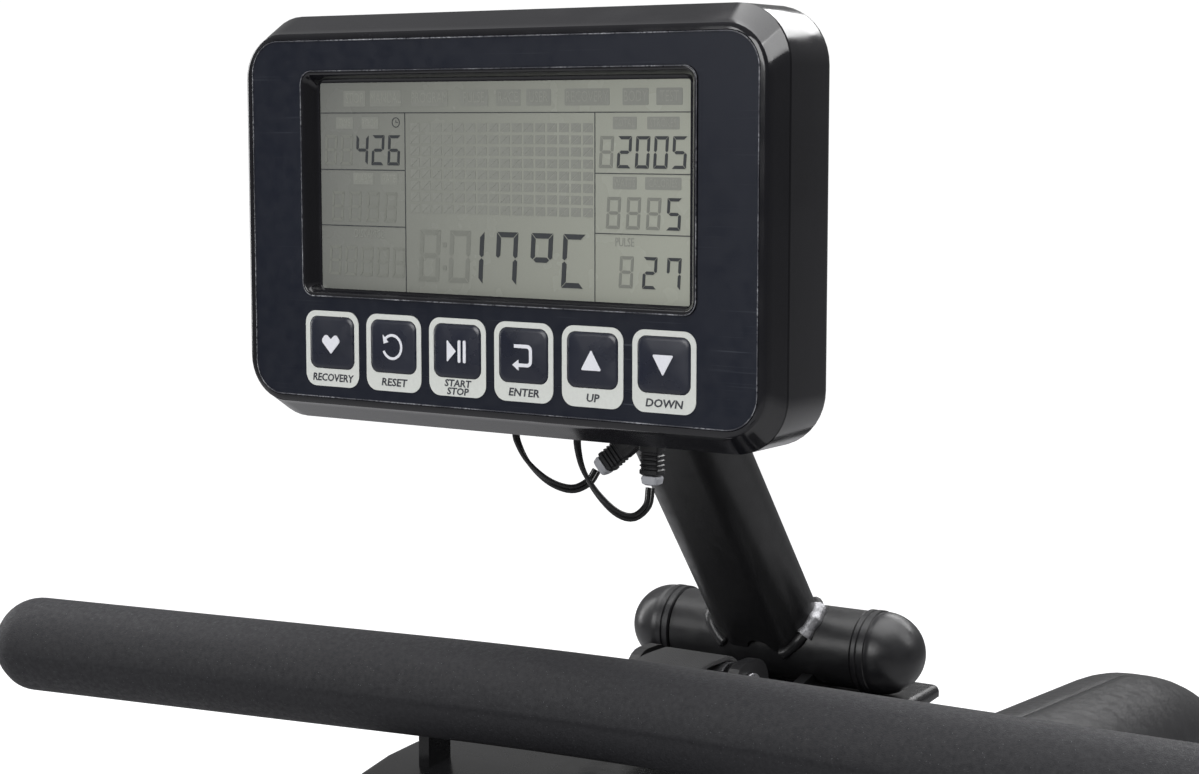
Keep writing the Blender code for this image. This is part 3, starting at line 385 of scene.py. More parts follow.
def weld_look():
    look = Look("bare_weld")
    look.set("Metallic", 0.85)
    look.colour(look.blend(look.noise(380, 4), (0.05, 0.05, 0.055), (0.50, 0.50, 0.52)))
    look.roughness(look.spread(look.noise(500, 3), 0.3, 0.7, 0.3, 0.55))
    look.bump(look.noise(900, 4), 0.6, 0.0005)
    return look.material


def leather_look():
    """Moulded seat skin with a pebbled grain."""
    look = Look("seat_skin")
    pebbles = look.spread(look.cells(420, "SMOOTH_F1"), 0.1, 0.6)
    look.colour(look.blend(look.noise(20, 3), (0.0135, 0.0135, 0.0150), (0.0220, 0.0220, 0.0240)))
    look.roughness(look.spread(pebbles, 0.0, 1.0, 0.62, 0.45))
    look.bump(look.math("ADD", pebbles, look.math("MULTIPLY", look.noise(1600, 2), 0.3)), 0.5, 0.0005)
    return look.material


def edge_look():
    """The film's cut edge: a painted highlight, whitish in patches and dark between."""
    look = Look("film_edge")
    patches = look.spread(look.noise(55, 4), 0.42, 0.66)
    grains = look.spread(look.noise(900, 3), 0.35, 0.65)
    share = look.math("MULTIPLY", patches, grains)
    # Painted highlight: the edge is coloured whitish where the patch and grain masks meet, as if catching light.
    look.colour(look.blend(share, (0.035, 0.037, 0.048), (0.42, 0.43, 0.46)))
    look.roughness(look.spread(grains, 0.0, 1.0, 0.25, 0.5))
    return look.material


def floor_look():
    look = Look("studio_floor")
    look.colour(look.blend(look.noise(0.6, 2), (0.36, 0.36, 0.37), (0.38, 0.38, 0.39)))
    look.roughness(look.spread(look.noise(3, 2), 0.3, 0.7, 0.75, 0.85))
    look.set("Emission Color", (1, 1, 1, 1))
    seen = look.node("ShaderNodeLightPath").outputs["Is Camera Ray"]
    look.link(look.spread(seen, 0.0, 1.0, 0.02, 0.90), look.shader.inputs["Emission Strength"])
    return look.material


LOOKS = {
    "gloss": gloss_look(),
    "film": film_look(),
    "lcd": lcd_look(),
    "dark_ink": ink_look("lcd_ink", (0.022, 0.026, 0.030)),
    "ghost_ink": ink_look("lcd_ghost", (0.190, 0.197, 0.172)),
    "faint_ink": ink_look("lcd_faint", (0.228, 0.235, 0.209)),
    "pale_ink": ink_look("lcd_pale", (0.262, 0.271, 0.236)),
    "edge_glint": edge_look(),
    "beige_ink": ink_look("key_print", (0.68, 0.70, 0.665)),
    "white_ink": ink_look("key_symbol", (0.80, 0.81, 0.86)),
    "label_ink": ink_look("label_print", (0.030, 0.032, 0.042)),
    "key": plain_look("key_dome", (0.0100, 0.0125, 0.0245), 0.30, wear=(90, 0.08), grain=(2600, 0.15, 0.00004)),
    "coat": plain_look("powder_coat", (0.0105, 0.0105, 0.0115), 0.36, grain=(900, 0.30, 0.00012)),
    "tray": plain_look("tray_coat", (0.0085, 0.0085, 0.0095), 0.22, grain=(500, 0.12, 0.00012)),
    "satin": plain_look("satin_moulding", (0.0110, 0.0110, 0.0125), 0.30, grain=(2100, 0.25, 0.00005)),
    "housing": plain_look("housing_moulding", (0.0115, 0.0115, 0.0130), 0.36, grain=(1700, 0.30, 0.00007)),
    "grey": plain_look("grey_moulding", (0.09, 0.09, 0.10), 0.5),
    "frost": plain_look("frosted_plastic", (0.42, 0.43, 0.46), 0.4, grain=(800, 0.3, 0.0001)),
    "rubber": plain_look("rubber", (0.0130, 0.0130, 0.0135), 0.72, grain=(1100, 0.45, 0.0001)),
    "wire": plain_look("wire_skin", (0.0100, 0.0100, 0.0110), 0.28, grain=(300, 0.1, 0.0001)),
    "foam": foam_look(),
    "strap": webbing_look("strap_weave"),
    "foot_strap": webbing_look("foot_strap_weave", "X", "Z"),
    "rail": brushed_look("rail_anodised", (0.30, 0.31, 0.32), 0.34, (900, 3, 900)),
    "steel": brushed_look("plated_steel", (0.52, 0.52, 0.54), 0.30, (60, 600, 600)),
    "iron": brushed_look("turned_iron", (0.16, 0.16, 0.17), 0.42, (900, 90, 90)),
    "weld": weld_look(),
    "cap": plain_look("cap_moulding", (0.0110, 0.0110, 0.0125), 0.36, grain=(1800, 0.25, 0.00006)),
    "skin": leather_look(),
    "board": plain_look("solder_mask", (0.015, 0.09, 0.035), 0.4),
    "floor": floor_look(),
}


# ---------------------------------------------------------------- building


def finish_piece(name, bm, look, body, nodes=(), sharp=32, bevel=None):
    """A bmesh becomes a piece that rides on a body and may stand for CAD nodes."""
    bmesh.ops.recalc_face_normals(bm, faces=bm.faces)
    mesh = bpy.data.meshes.new(name)
    bm.to_mesh(mesh)
    bm.free()
    return place_mesh(name, mesh, look, body, nodes, sharp, bevel)


def place_mesh(name, mesh, look, body, nodes=(), sharp=32, bevel=None):
    obj = bpy.data.objects.new(name, mesh)
    bpy.context.scene.collection.objects.link(obj)
    mesh.materials.clear()
    mesh.materials.append(LOOKS[look])
    mesh.shade_smooth()
    mesh.set_sharp_from_angle(angle=math.radians(sharp))
    if bevel:
        modifier = obj.modifiers.new("edges", "BEVEL")
        modifier.width = bevel
        modifier.segments = 2
        modifier.limit_method = "ANGLE"
        modifier.angle_limit = math.radians(35)
        modifier.harden_normals = True
    if body:
        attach(obj, body)
    if nodes:
        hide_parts(*nodes)
    return obj


def add_rings(bm, rings, loop=False, caps=True):
    """Skins rings of equal length. With loop, the last joins the first; with caps, both ends are closed."""
    rows = [[bm.verts.new(point) for point in ring] for ring in rings]
    count = len(rows[0])
    pairs = list(zip(rows, rows[1:]))
    if loop:
        pairs.append((rows[-1], rows[0]))
    for low, high in pairs:
        for i in range(count):
            bm.faces.new((low[i], low[(i + 1) % count], high[(i + 1) % count], high[i]))
    if caps and not loop:
        bm.faces.new(rows[0][::-1])
        bm.faces.new(rows[-1])
    return bm


def rings_mesh(rings, loop=False, caps=True):
    return add_rings(bmesh.new(), rings, loop, caps)


def hull(circles, grow=0.0, step=math.radians(7.5)):
    """Points round the outer tangents of circles (u, v, radius), listed counter-clockwise."""
    angles = []
    for here, there in zip(circles, circles[1:] + circles[:1]):
        run = Vector(there[:2]) - Vector(here[:2])
        lean = math.asin((here[2] - there[2]) / run.length)
        angles.append(math.atan2(run.y, run.x) - math.pi / 2 + lean)
    points = []
    for i, (u, v, radius) in enumerate(circles):
        start = angles[i - 1]
        sweep = (angles[i] - start) % (2 * math.pi)
        steps = max(2, round(sweep / step))
        for k in range(steps + 1):
            angle = start + sweep * k / steps
            points.append((u + (radius + grow) * math.cos(angle), v + (radius + grow) * math.sin(angle)))
    return points


def rounded_box(half_u, half_v, corner, middle=(0.0, 0.0), step=math.radians(9)):
    u, v = half_u - corner, half_v - corner
    circles = tuple((middle[0] + a, middle[1] + b, corner) for a, b in ((u, v), (-u, v), (-u, -v), (u, -v)))
    return hull(circles, 0.0, step)


def rounded(corners, step=math.radians(12)):
    """Outline through corners (u, v, radius), each rounded with an arc of its radius."""
    points = []
    for i, (u, v, radius) in enumerate(corners):
        here = Vector((u, v))
        back = (Vector(corners[i - 1][:2]) - here).normalized()
        ahead = (Vector(corners[(i + 1) % len(corners)][:2]) - here).normalized()
        if radius == 0:
            points.append((u, v))
            continue
        half = back.angle(ahead) / 2
        centre = here + (back + ahead).normalized() * radius / math.sin(half)
        first = here + back * radius / math.tan(half) - centre
        last = here + ahead * radius / math.tan(half) - centre
        turn = math.atan2(first.x * last.y - first.y * last.x, first.dot(last))
        steps = max(1, round(abs(turn) / step))
        for k in range(steps + 1):
            arm = first.copy()
            arm.rotate(Matrix.Rotation(turn * k / steps, 2))
            points.append(tuple(centre + arm))
    return points


def flat_mesh(outlines, to_world, low, high):
    """Outlines, nested ones being holes, thickened from low to high depth. to_world places (u, v, depth)."""
    curve = bpy.data.curves.new("outline", "CURVE")
    curve.dimensions = "2D"
    curve.fill_mode = "BOTH"
    curve.extrude = (high - low) / 2
    for outline in outlines:
        spline = curve.splines.new("POLY")
        spline.points.add(len(outline) - 1)
        for point, (u, v) in zip(spline.points, outline):
            point.co = (u, v, 0, 1)
        spline.use_cyclic_u = True
    mesh = curve_mesh(curve)
    bm = bmesh.new()
    bm.from_mesh(mesh)
    bpy.data.meshes.remove(mesh)
    bmesh.ops.remove_doubles(bm, verts=bm.verts, dist=0.000002)
    for vertex in bm.verts:
        u, v, depth = vertex.co
        vertex.co = to_world(u, v, depth + (low + high) / 2)
    return bm


def curve_mesh(curve):
    """The mesh that a curve or a text makes, which is then removed."""
    guide = bpy.data.objects.new("guide", curve)
    bpy.context.scene.collection.objects.link(guide)
    bpy.context.view_layer.update()
    graph = bpy.context.evaluated_depsgraph_get()
    mesh = bpy.data.meshes.new_from_object(guide.evaluated_get(graph))
    bpy.data.objects.remove(guide)
    bpy.data.curves.remove(curve)
    return mesh


def join_meshes(parts):
    """Several bmeshes become one."""
    joined = bmesh.new()
    for part in parts:
        mesh = bpy.data.meshes.new("part")
        part.to_mesh(mesh)
        part.free()
        joined.from_mesh(mesh)
        bpy.data.meshes.remove(mesh)
    return joined


def spun_mesh(centre, profile, steps=64, closed=False):
    """A profile (radius, x) turned about an axis along X through centre."""
    bm = bmesh.new()
    rows = []
    for radius, x in profile:
        if radius < 1e-7:
            rows.append([bm.verts.new((centre[0] + x, centre[1], centre[2]))])
            continue
        row = []
        for k in range(steps):
            angle = 2 * math.pi * k / steps
            y, z = radius * math.cos(angle), radius * math.sin(angle)
            row.append(bm.verts.new((centre[0] + x, centre[1] + y, centre[2] + z)))
        rows.append(row)
    pairs = list(zip(rows, rows[1:]))
    if closed:
        pairs.append((rows[-1], rows[0]))
    for first, second in pairs:
        for k in range(steps):
            loop = [
                first[k % len(first)], first[(k + 1) % len(first)], second[(k + 1) % len(second)],
                second[k % len(second)],
            ]
            face = list(dict.fromkeys(loop))
            bm.faces.new(face)
    return bm


def frames_along(points):
    """(point, side, up) along a path, turning as little as it can."""
    made = []
    side = None
    for i, point in enumerate(points):
        ahead = (points[min(i + 1, len(points) - 1)] - points[max(i - 1, 0)]).normalized()
        if side is None:
            side = ahead.orthogonal().normalized()
        side = (side - ahead * side.dot(ahead)).normalized()
        made.append((point, side, side.cross(ahead)))
    return made


def tube_mesh(points, radius, sides=20):
    """A tube along points. radius is a number or one for each point."""
    radii = radius if isinstance(radius, (list, tuple)) else [radius] * len(points)
    rings = []
    for (point, side, up), size in zip(frames_along(points), radii):
        angles = [2 * math.pi * k / sides for k in range(sides)]
        rings.append([point + size * (math.cos(a) * side + math.sin(a) * up) for a in angles])
    return rings_mesh(rings)


def box_mesh(centre, size, turn=None):
    bm = bmesh.new()
    bmesh.ops.create_cube(bm, size=1)
    bmesh.ops.scale(bm, vec=size, verts=bm.verts)
    if turn is not None:
        bmesh.ops.rotate(bm, matrix=turn, verts=bm.verts)
    bmesh.ops.translate(bm, vec=centre, verts=bm.verts)
    return bm


def smooth_path(points, count):
    """Points spread evenly along a smooth curve through the given ones."""
    given = [Vector(p) for p in points]
    knots = [2 * given[0] - given[1], *given, 2 * given[-1] - given[-2]]
    fine = []
    for a, b, c, d in zip(knots, knots[1:], knots[2:], knots[3:]):
        for k in range(16):
            t = k / 16
            fine.append(
                0.5 * (
                    2 * b + (c - a) * t + (2 * a - 5 * b + 4 * c - d) * t**2 + (3 * b - a - 3 * c + d) * t**3
                )
            )
    fine.append(knots[-2])
    lengths = [0.0]
    for p, q in zip(fine, fine[1:]):
        lengths.append(lengths[-1] + (q - p).length)
    made = []
    at = 0
    for k in range(count):
        wanted = lengths[-1] * k / (count - 1)
        while at < len(fine) - 2 and lengths[at + 1] < wanted:
            at += 1
        share = (wanted - lengths[at]) / (lengths[at + 1] - lengths[at])
        made.append(fine[at].lerp(fine[at + 1], share))
    return made


def text_mesh(words, height, squeeze, slant, to_world, centre, low, high, bold=0.0):
    """Words in the plain built-in font, centred at (u, v), as a raised print."""
    curve = bpy.data.curves.new("words", "FONT")
    curve.body = words
    curve.align_x = "CENTER"
    curve.align_y = "CENTER"
    curve.size = height
    curve.shear = slant
    curve.offset = bold
    curve.resolution_u = 2
    curve.extrude = (high - low) / 2
    mesh = curve_mesh(curve)
    bm = bmesh.new()
    bm.from_mesh(mesh)
    bpy.data.meshes.remove(mesh)
    for vertex in bm.verts:
        u, v, depth = vertex.co
        vertex.co = to_world(centre[0] + u * squeeze, centre[1] + v, depth + (low + high) / 2)
    return bm


# ---------------------------------------------------------------- console


def on_face(u, v, proud):
    """A place on the console: right, up and out of its face."""
    return FACE + Vector((u, -proud, v))


def side_view(x_sign=1):
    """Places (y, z, depth) with depth along X."""
    return lambda u, v, depth: Vector((depth * x_sign, u, v))


def console_ring(half, corner, depth, inset=0.0, middle=(0.0, 0.0)):
    outline = rounded_box(half[0] - inset, half[1] - inset, corner - inset, middle)
    return [on_face(u, v, -depth) for u, v in outline]


def edges_ring(edges, depth, grow=0.0, corner=0.004):
    left, right, low, high = edges
    half = ((right - left) / 2, (high - low) / 2)
    return console_ring(half, corner, depth, -grow, ((left + right) / 2, (low + high) / 2))


def key_places():
    return {name: (middle_of("button_" + name).x, middle_of("button_" + name).z - FACE.z) for name in KEYS}


def make_console_shells():
    def rim(depth, inset):
        return console_ring(RIM_HALF, RIM_CORNER, depth, inset)

    def flare(share, extra=0.0):
        half = [a + (b - a) * share for a, b in zip(RIM_HALF, SEAM_HALF)]
        corner = RIM_CORNER + (SEAM_CORNER - RIM_CORNER) * share
        return console_ring(half, corner, 0.0016 + (SEAM_DEPTH - 0.0021) * share, extra)

    lip = (FILM_HALF[0] + 0.0004, FILM_HALF[1] + 0.0004)
    rings = [
        console_ring(lip, FILM_CORNER, 0.0009),
        console_ring(lip, FILM_CORNER, 0.0001),
        console_ring(lip, FILM_CORNER, -0.00015, -0.0003),
        rim(-0.0001, 0.0022),
        rim(0.0001, 0.0012),
        rim(0.0006, 0.0004),
        *[flare(k / 6) for k in range(7)],
        console_ring(SEAM_HALF, SEAM_CORNER, SEAM_DEPTH - 0.0003, 0.0004),
        console_ring(SEAM_HALF, SEAM_CORNER, SEAM_DEPTH - 0.0003, 0.0060),
        console_ring(lip, FILM_CORNER, 0.0040, -0.0008),
        console_ring(lip, FILM_CORNER, 0.0020, 0.0020),
    ]
    front = rings_mesh(rings, loop=True)
    finish_piece("console_front", front, "gloss", "frame", ["console_front_shell"])
    # A floor under the film shows at the window's edge and in the gaps round the keys.
    floor = flat_mesh(
        [rounded_box(lip[0] + 0.001, lip[1] + 0.001, FILM_CORNER), window_outline(-0.0002)], on_face,
        -0.0022, -0.0010,
    )
    finish_piece("console_face_plate", floor, "gloss", "frame")
    back = [
        console_ring(SEAM_HALF, SEAM_CORNER, SEAM_DEPTH + 0.0003, 0.0060),
        console_ring(SEAM_HALF, SEAM_CORNER, SEAM_DEPTH + 0.0003, 0.0004),
        console_ring(SEAM_HALF, SEAM_CORNER, SEAM_DEPTH + 0.0008),
    ]
    round_edge = 0.005
    for k in range(10):
        angle = math.radians(10 * k)
        inset = round_edge * (1 - math.cos(angle))
        depth = CONSOLE_DEPTH - round_edge + round_edge * math.sin(angle)
        back.append(console_ring(SEAM_HALF, SEAM_CORNER, depth, inset))
    shell = rings_mesh(back)
    finish_piece("console_rear", shell, "gloss", "frame", ["console_rear_shell"])


def window_outline(grow=0.0, corner=0.004):
    left, right, low, high = WINDOW
    half = ((right - left) / 2 + grow, (high - low) / 2 + grow)
    return rounded_box(*half, corner + grow, ((left + right) / 2, (low + high) / 2))


def make_console_back():
    """Screws, a battery door and a vent on the console's back."""
    back = -CONSOLE_DEPTH
    door = flat_mesh([rounded_box(0.030, 0.020, 0.004, (-0.070, 0.0))], on_face, back - 0.0010, back + 0.001)
    catch = flat_mesh([rounded_box(0.006, 0.002, 0.0015, (-0.070, -0.0165))], on_face, back - 0.0018, back)
    finish_piece(
        "battery_door", join_meshes([door, catch]), "satin", "frame", bevel=0.0003,
    )
    slats = []
    for k in range(7):
        slats.append(
            flat_mesh(
                [rounded_box(0.018, 0.0011, 0.001, (0.072, -0.015 + 0.005 * k))], on_face, back - 0.0008,
                back + 0.001,
            )
        )
    finish_piece("console_vent", join_meshes(slats), "satin", "frame", bevel=0.0002)
    screws = []
    for u, v in ((-0.098, 0.055), (0.098, 0.055), (-0.098, -0.055), (0.098, -0.055)):
        screws.append(screw_head(on_face(u, v, back - 0.0004), Vector((0, 1, 0)), 0.0032))
    finish_piece("console_screws", join_meshes(screws), "steel", "frame")


def screw_head(place, out, radius, sides=6):
    """A pan head with a hexagonal socket, its flat side against place."""
    side = out.orthogonal().normalized()
    up = out.cross(side)
    count = 24

    def ring(size, height, corners=count):
        points = []
        for k in range(count):
            angle = 2 * math.pi * k / count
            reach = size
            if corners != count:
                wedge = math.pi / corners
                reach = size * math.cos(wedge) / math.cos((angle % (2 * wedge)) - wedge)
            points.append(place + out * height + reach * (math.cos(angle) * side + math.sin(angle) * up))
        return points

    high = radius * 0.55
    return rings_mesh([
        ring(radius, -0.0002),
        ring(radius, high * 0.5),
        ring(radius * 0.86, high * 0.9),
        ring(radius * 0.62, high),
        ring(radius * 0.50, high, sides),
        ring(radius * 0.48, high * 0.3, sides),
    ])


def make_window():
    """The bead round the window, its sloping sides and the ledge at the glass."""
    rings = [
        edges_ring(WINDOW, 0.0006, 0.0012),
        edges_ring(WINDOW, -0.0002, 0.0011),
        edges_ring(WINDOW, -0.0006, 0.0007),
        edges_ring(WINDOW, -0.0006, 0.0002),
        edges_ring(WINDOW, 0.0000, -0.0004),
        edges_ring(WINDOW, 0.0010, -0.0012),
        edges_ring(GLASS, GLASS_DEPTH - 0.0008, 0.0016, 0.003),
        edges_ring(GLASS, GLASS_DEPTH - 0.0002, 0.0010, 0.002),
        edges_ring(GLASS, GLASS_DEPTH - 0.0002, 0.0, 0.001),
        edges_ring(GLASS, GLASS_DEPTH + 0.0006, 0.0, 0.001),
        edges_ring(GLASS, GLASS_DEPTH + 0.0006, 0.0030, 0.004),
    ]
    bezel = rings_mesh(rings, loop=True)
    finish_piece("window_bezel", bezel, "gloss", "frame", sharp=50)


def make_film():
    holes = [window_outline(0.0013)]
    for u, v in key_places().values():
        holes.append(rounded_box(KEY_HALF[0] + 0.0003, KEY_HALF[1] + 0.0003, 0.0037, (u, v)))
    film = flat_mesh([rounded_box(*FILM_HALF, FILM_CORNER), *holes], on_face, -0.0008, 0.0)
    finish_piece("console_film", film, "film", "frame", ["console_overlay"], bevel=0.00012)
    # Thin tubes round the film and the window, coloured as a painted highlight along their edges.
    outline = rounded_box(FILM_HALF[0] + 0.0002, FILM_HALF[1] + 0.0002, FILM_CORNER)
    edge = closed_tube([on_face(u, v, 0.00005) for u, v in outline], 0.00022, 8, Vector((0, 1, 0)))
    window = closed_tube(
        [on_face(u, v, 0.00055) for u, v in window_outline(0.0010)], 0.00020, 8, Vector((0, 1, 0)),
    )
    finish_piece("film_edges", join_meshes([edge, window]), "edge_glint", "frame", sharp=80)


def make_keys():
    plates, words = [], []
    for (name, (u, v)), lines in zip(key_places().items(), KEY_LABELS):
        outline = rounded_box(*KEY_FRAME_HALF, 0.0050, (u, v - KEY_FRAME_DROP))
        hole = rounded_box(KEY_HALF[0] + 0.0001, KEY_HALF[1] + 0.0001, 0.0036, (u, v))
        plates.append(flat_mesh([outline, hole], on_face, 0.00002, 0.00018))
        for i, line in enumerate(lines):
            drop = 0.01365 if len(lines) == 1 else 0.01215 + 0.0030 * i
            height = 0.0040 if len(lines) == 1 else 0.0036
            squeeze = min(1.15, 8.1 / len(line))
            words.append(
                text_mesh(line, height, squeeze, 0.14, on_face, (u, v - drop), 0.00016, 0.00026, 0.00009)
            )
        make_key(name, u, v)
    finish_piece("key_frames", join_meshes(plates), "beige_ink", "frame")
    finish_piece("key_labels", join_meshes(words), "label_ink", "frame")


def make_key(name, u, v):
    """A low dome with its printed symbol."""
    def ring(proud, inset):
        corner = max(0.0036 - inset * 0.4, 0.0012)
        outline = rounded_box(KEY_HALF[0] - inset, KEY_HALF[1] - inset, corner, (u, v), math.radians(11.25))
        return [on_face(a, b, proud) for a, b in outline]

    dome = [ring(-0.0040, 0.0), ring(0.0000, 0.0), ring(0.0003, 0.00025)]
    for k in range(1, 7):
        share = k / 7
        dome.append(ring(0.0003 + 0.0007 * math.sin(share * math.pi / 2), 0.00025 + share * 0.0093))
    body = "button_" + name
    cap = finish_piece("key_" + name, rings_mesh(dome), "key", body, [body], sharp=60)
    symbol = flat_mesh(key_symbol(name, u, v), on_face, 0.00055, 0.00112)
    print_piece = finish_piece("symbol_" + name, symbol, "white_ink", body)
    return cap, print_piece


def key_symbol(name, u, v):
    """Outlines of a key's symbol, in metres on the face."""
    mm = 0.001
    if name == "recovery":
        shape = [
            rounded(
                (
                    (0, -4.3, 0.5), (4.7, 0.7, 1.3), (2.5, 3.5, 1.3), (0, 1.4, 0.3), (-2.5, 3.5, 1.3),
                    (-4.7, 0.7, 1.3),
                )
            )
        ]
    elif name == "reset":
        shape = [ring_arrow()]
    elif name == "start":
        shape = [
            rounded(((-4.2, -4.2, 0.2), (0.0, 0.0, 0.2), (-4.2, 4.2, 0.2))),
            rounded_box(0.65, 4.2, 0.6, (1.5, 0)),
            rounded_box(0.65, 4.2, 0.6, (3.9, 0)),
        ]
    elif name == "enter":
        shape = [rounded((
            (-3.6, 4.1, 0.2), (4.4, 4.1, 2.2), (4.4, -4.1, 2.2), (-1.6, -4.1, 0), (-1.6, -5.5, 0.1),
            (-4.4, -3.45, 0.1),
            (-1.6, -1.4, 0.1), (-1.6, -2.8, 0), (3.1, -2.8, 1.0), (3.1, 2.8, 1.0), (-3.6, 2.8, 0.2),
        ))]
    elif name == "up":
        shape = [rounded(((-4.4, -3.6, 0.4), (4.4, -3.6, 0.4), (0, 3.8, 0.3)))]
    else:
        shape = [rounded(((4.4, 3.6, 0.4), (-4.4, 3.6, 0.4), (0, -3.8, 0.3)))]
    return [[(u + a * mm, v + b * mm) for a, b in outline] for outline in shape]


def ring_arrow():
    """An open circle that ends in an arrow head, in millimetres."""
    outer, inner = 4.9, 3.9
    points = []
    for k in range(31):
        angle = math.radians(-158 + (135 + 158) * k / 30)
        points.append((outer * math.cos(angle), outer * math.sin(angle)))
    head = math.radians(135)
    for radius, turn in ((6.3, 0), (4.2, 30), (2.5, 0)):
        angle = head + math.radians(turn)
        points.append((radius * math.cos(angle), radius * math.sin(angle)))
    for k in range(30, -1, -1):
        angle = math.radians(-158 + (135 + 158) * k / 30)
        points.append((inner * math.cos(angle), inner * math.sin(angle)))
    return points


# Segments of a digit: a top, b upper right, c lower right, d bottom, e lower left, f upper left, g middle.
SEGMENTS = {
    "0": "abcdef", "1": "bc", "2": "abged", "3": "abgcd", "4": "fgbc", "5": "afgcd", "6": "afgedc", "7": "fabc",
    "8": "abcdefg", "9": "abfgcd", "C": "afed", "o": "abgf", " ": "",
}


def digit_outlines(character, middle, wide, high, thick, slant=0.06):
    """The lit segments of one digit, as outlines with mitred ends."""
    half, top = wide / 2, high / 2
    gap = thick * 0.10
    t = thick
    side = top - gap / 2
    shapes = {
        "a": ((-half + gap, top), (half - gap, top), (half - t - gap, top - t), (-half + t + gap, top - t)),
        "d": ((-half + gap, -top), (-half + t + gap, -top + t), (half - t - gap, -top + t), (half - gap, -top)),
        "g": (
            (-half + t * 0.7, 0), (-half + t * 1.3, t / 2), (half - t * 1.3, t / 2),
            (half - t * 0.7, 0), (half - t * 1.3, -t / 2), (-half + t * 1.3, -t / 2),
        ),
        "b": ((half, side - gap), (half, t * 0.45), (half - t * 0.5, gap), (half - t, t * 0.6), (half - t, side - t - gap)),
    }
    shapes["f"] = tuple((-a, b) for a, b in shapes["b"][::-1])
    shapes["c"] = tuple((a, -b) for a, b in shapes["b"][::-1])
    shapes["e"] = tuple((-a, -b) for a, b in shapes["b"])
    return [
        [(middle[0] + a + slant * b, middle[1] + b) for a, b in shapes[segment]]
        for segment in SEGMENTS[character]
    ]


def make_display():
    proud = -GLASS_DEPTH
    low, high = proud + 0.00002, proud + 0.00012
    small = (0.0058, 0.0113, 0.00115)
    rows = (0.0268, 0.0054, -0.0154)
    lit, ghost = [], []

    def row(where, text, right, pitch, z, size):
        for k, character in enumerate(reversed(text)):
            middle = (right - pitch * k, z)
            ghost_too = "8" if where == "ghost" else None
            lit_now = digit_outlines(character if where == "lit" else ghost_too, middle, *size)
            (lit if where == "lit" else ghost).extend(lit_now)

    row("lit", "426", -0.0476, 0.0077, rows[0], small)
    row("lit", "2005", 0.0787, 0.0076, rows[0], small)
    row("lit", "5", 0.0765, 0.0084, rows[1], small)
    row("lit", "27", 0.0765, 0.0099, rows[2], small)
    row("ghost", "88", -0.0707, 0.0077, rows[0], small)
    row("ghost", "8", 0.0483, 0.0076, rows[0], small)
    row("ghost", "8888", -0.0495, 0.0086, rows[1], small)
    row("ghost", "888", 0.0681, 0.0084, rows[1], small)
    row("ghost", "88888", -0.0457, 0.0078, rows[2], small)
    row("ghost", "8", 0.0567, 0.0099, rows[2], small)
    big = (0.0096, 0.0194, 0.0019)
    for character, u in (("1", -0.0108), ("7", 0.0045), ("o", 0.0200), ("C", 0.0341)):
        lit.extend(digit_outlines(character, (u, -0.0123), *big))
    ghost.extend(digit_outlines("8", (-0.0310, -0.0123), *big))
    ghost.extend(digit_outlines("8", (-0.0170, -0.0123), *big)[:-1])
    for v in (-0.0080, -0.0166):
        ghost.append(rounded_box(0.0009, 0.0009, 0.0003, (-0.0240, v)))
    lit.extend(display_lines())
    finish_piece("lcd_digits", flat_mesh(lit, on_face, low, high), "dark_ink", "frame")
    ghosts = flat_mesh(ghost, on_face, low - 0.00001, high - 0.00005)
    finish_piece("lcd_ghosts", ghosts, "ghost_ink", "frame")
    plates, pale, dim = display_words(low, high - 0.00004)
    faint = flat_mesh([*display_matrix(), *plates], on_face, low - 0.00001, high - 0.00006)
    finish_piece("lcd_matrix", join_meshes([faint, *dim]), "faint_ink", "frame")
    finish_piece("lcd_words", join_meshes(pale), "pale_ink", "frame")
    clock = flat_mesh(clock_outlines((-0.0466, 0.0372), 0.0019), on_face, low, high)
    finish_piece("lcd_clock", clock, "dark_ink", "frame")


def bar(left, low, right, high):
    return [(left, low), (right, low), (right, high), (left, high)]


def display_lines():
    """Thin rules between the display's cells."""
    left, right, low, _ = GLASS
    t = 0.00016
    band, first, second = 0.0408, 0.0193, -0.0020
    inner_left, inner_right = -0.0423, 0.0434
    lines = [
        bar(left, band - t, right, band + t),
        bar(inner_left - t, low, inner_left + t, band - t - 0.00002),
        bar(inner_right - t, low, inner_right + t, band - t - 0.00002),
    ]
    for z in (first, second):
        lines.append(bar(left, z - t, inner_left - t - 0.00002, z + t))
        lines.append(bar(inner_right + t + 0.00002, z - t, right, z + t))
    return lines


def display_matrix():
    """The unlit dot matrix in the middle of the display."""
    cells = []
    columns, lines = 16, 8
    for i in range(columns):
        for k in range(lines):
            u = -0.0394 + 0.0052 * (i + 0.35)
            v = 0.0375 - 0.0043 * (k + 0.5)
            cells.append([(u - 0.0021, v - 0.0016), (u + 0.0017, v + 0.0016), (u - 0.0021, v + 0.0016)])
            cells.append([(u - 0.0017, v - 0.0016), (u + 0.0021, v - 0.0016), (u + 0.0021, v + 0.0016)])
    return cells


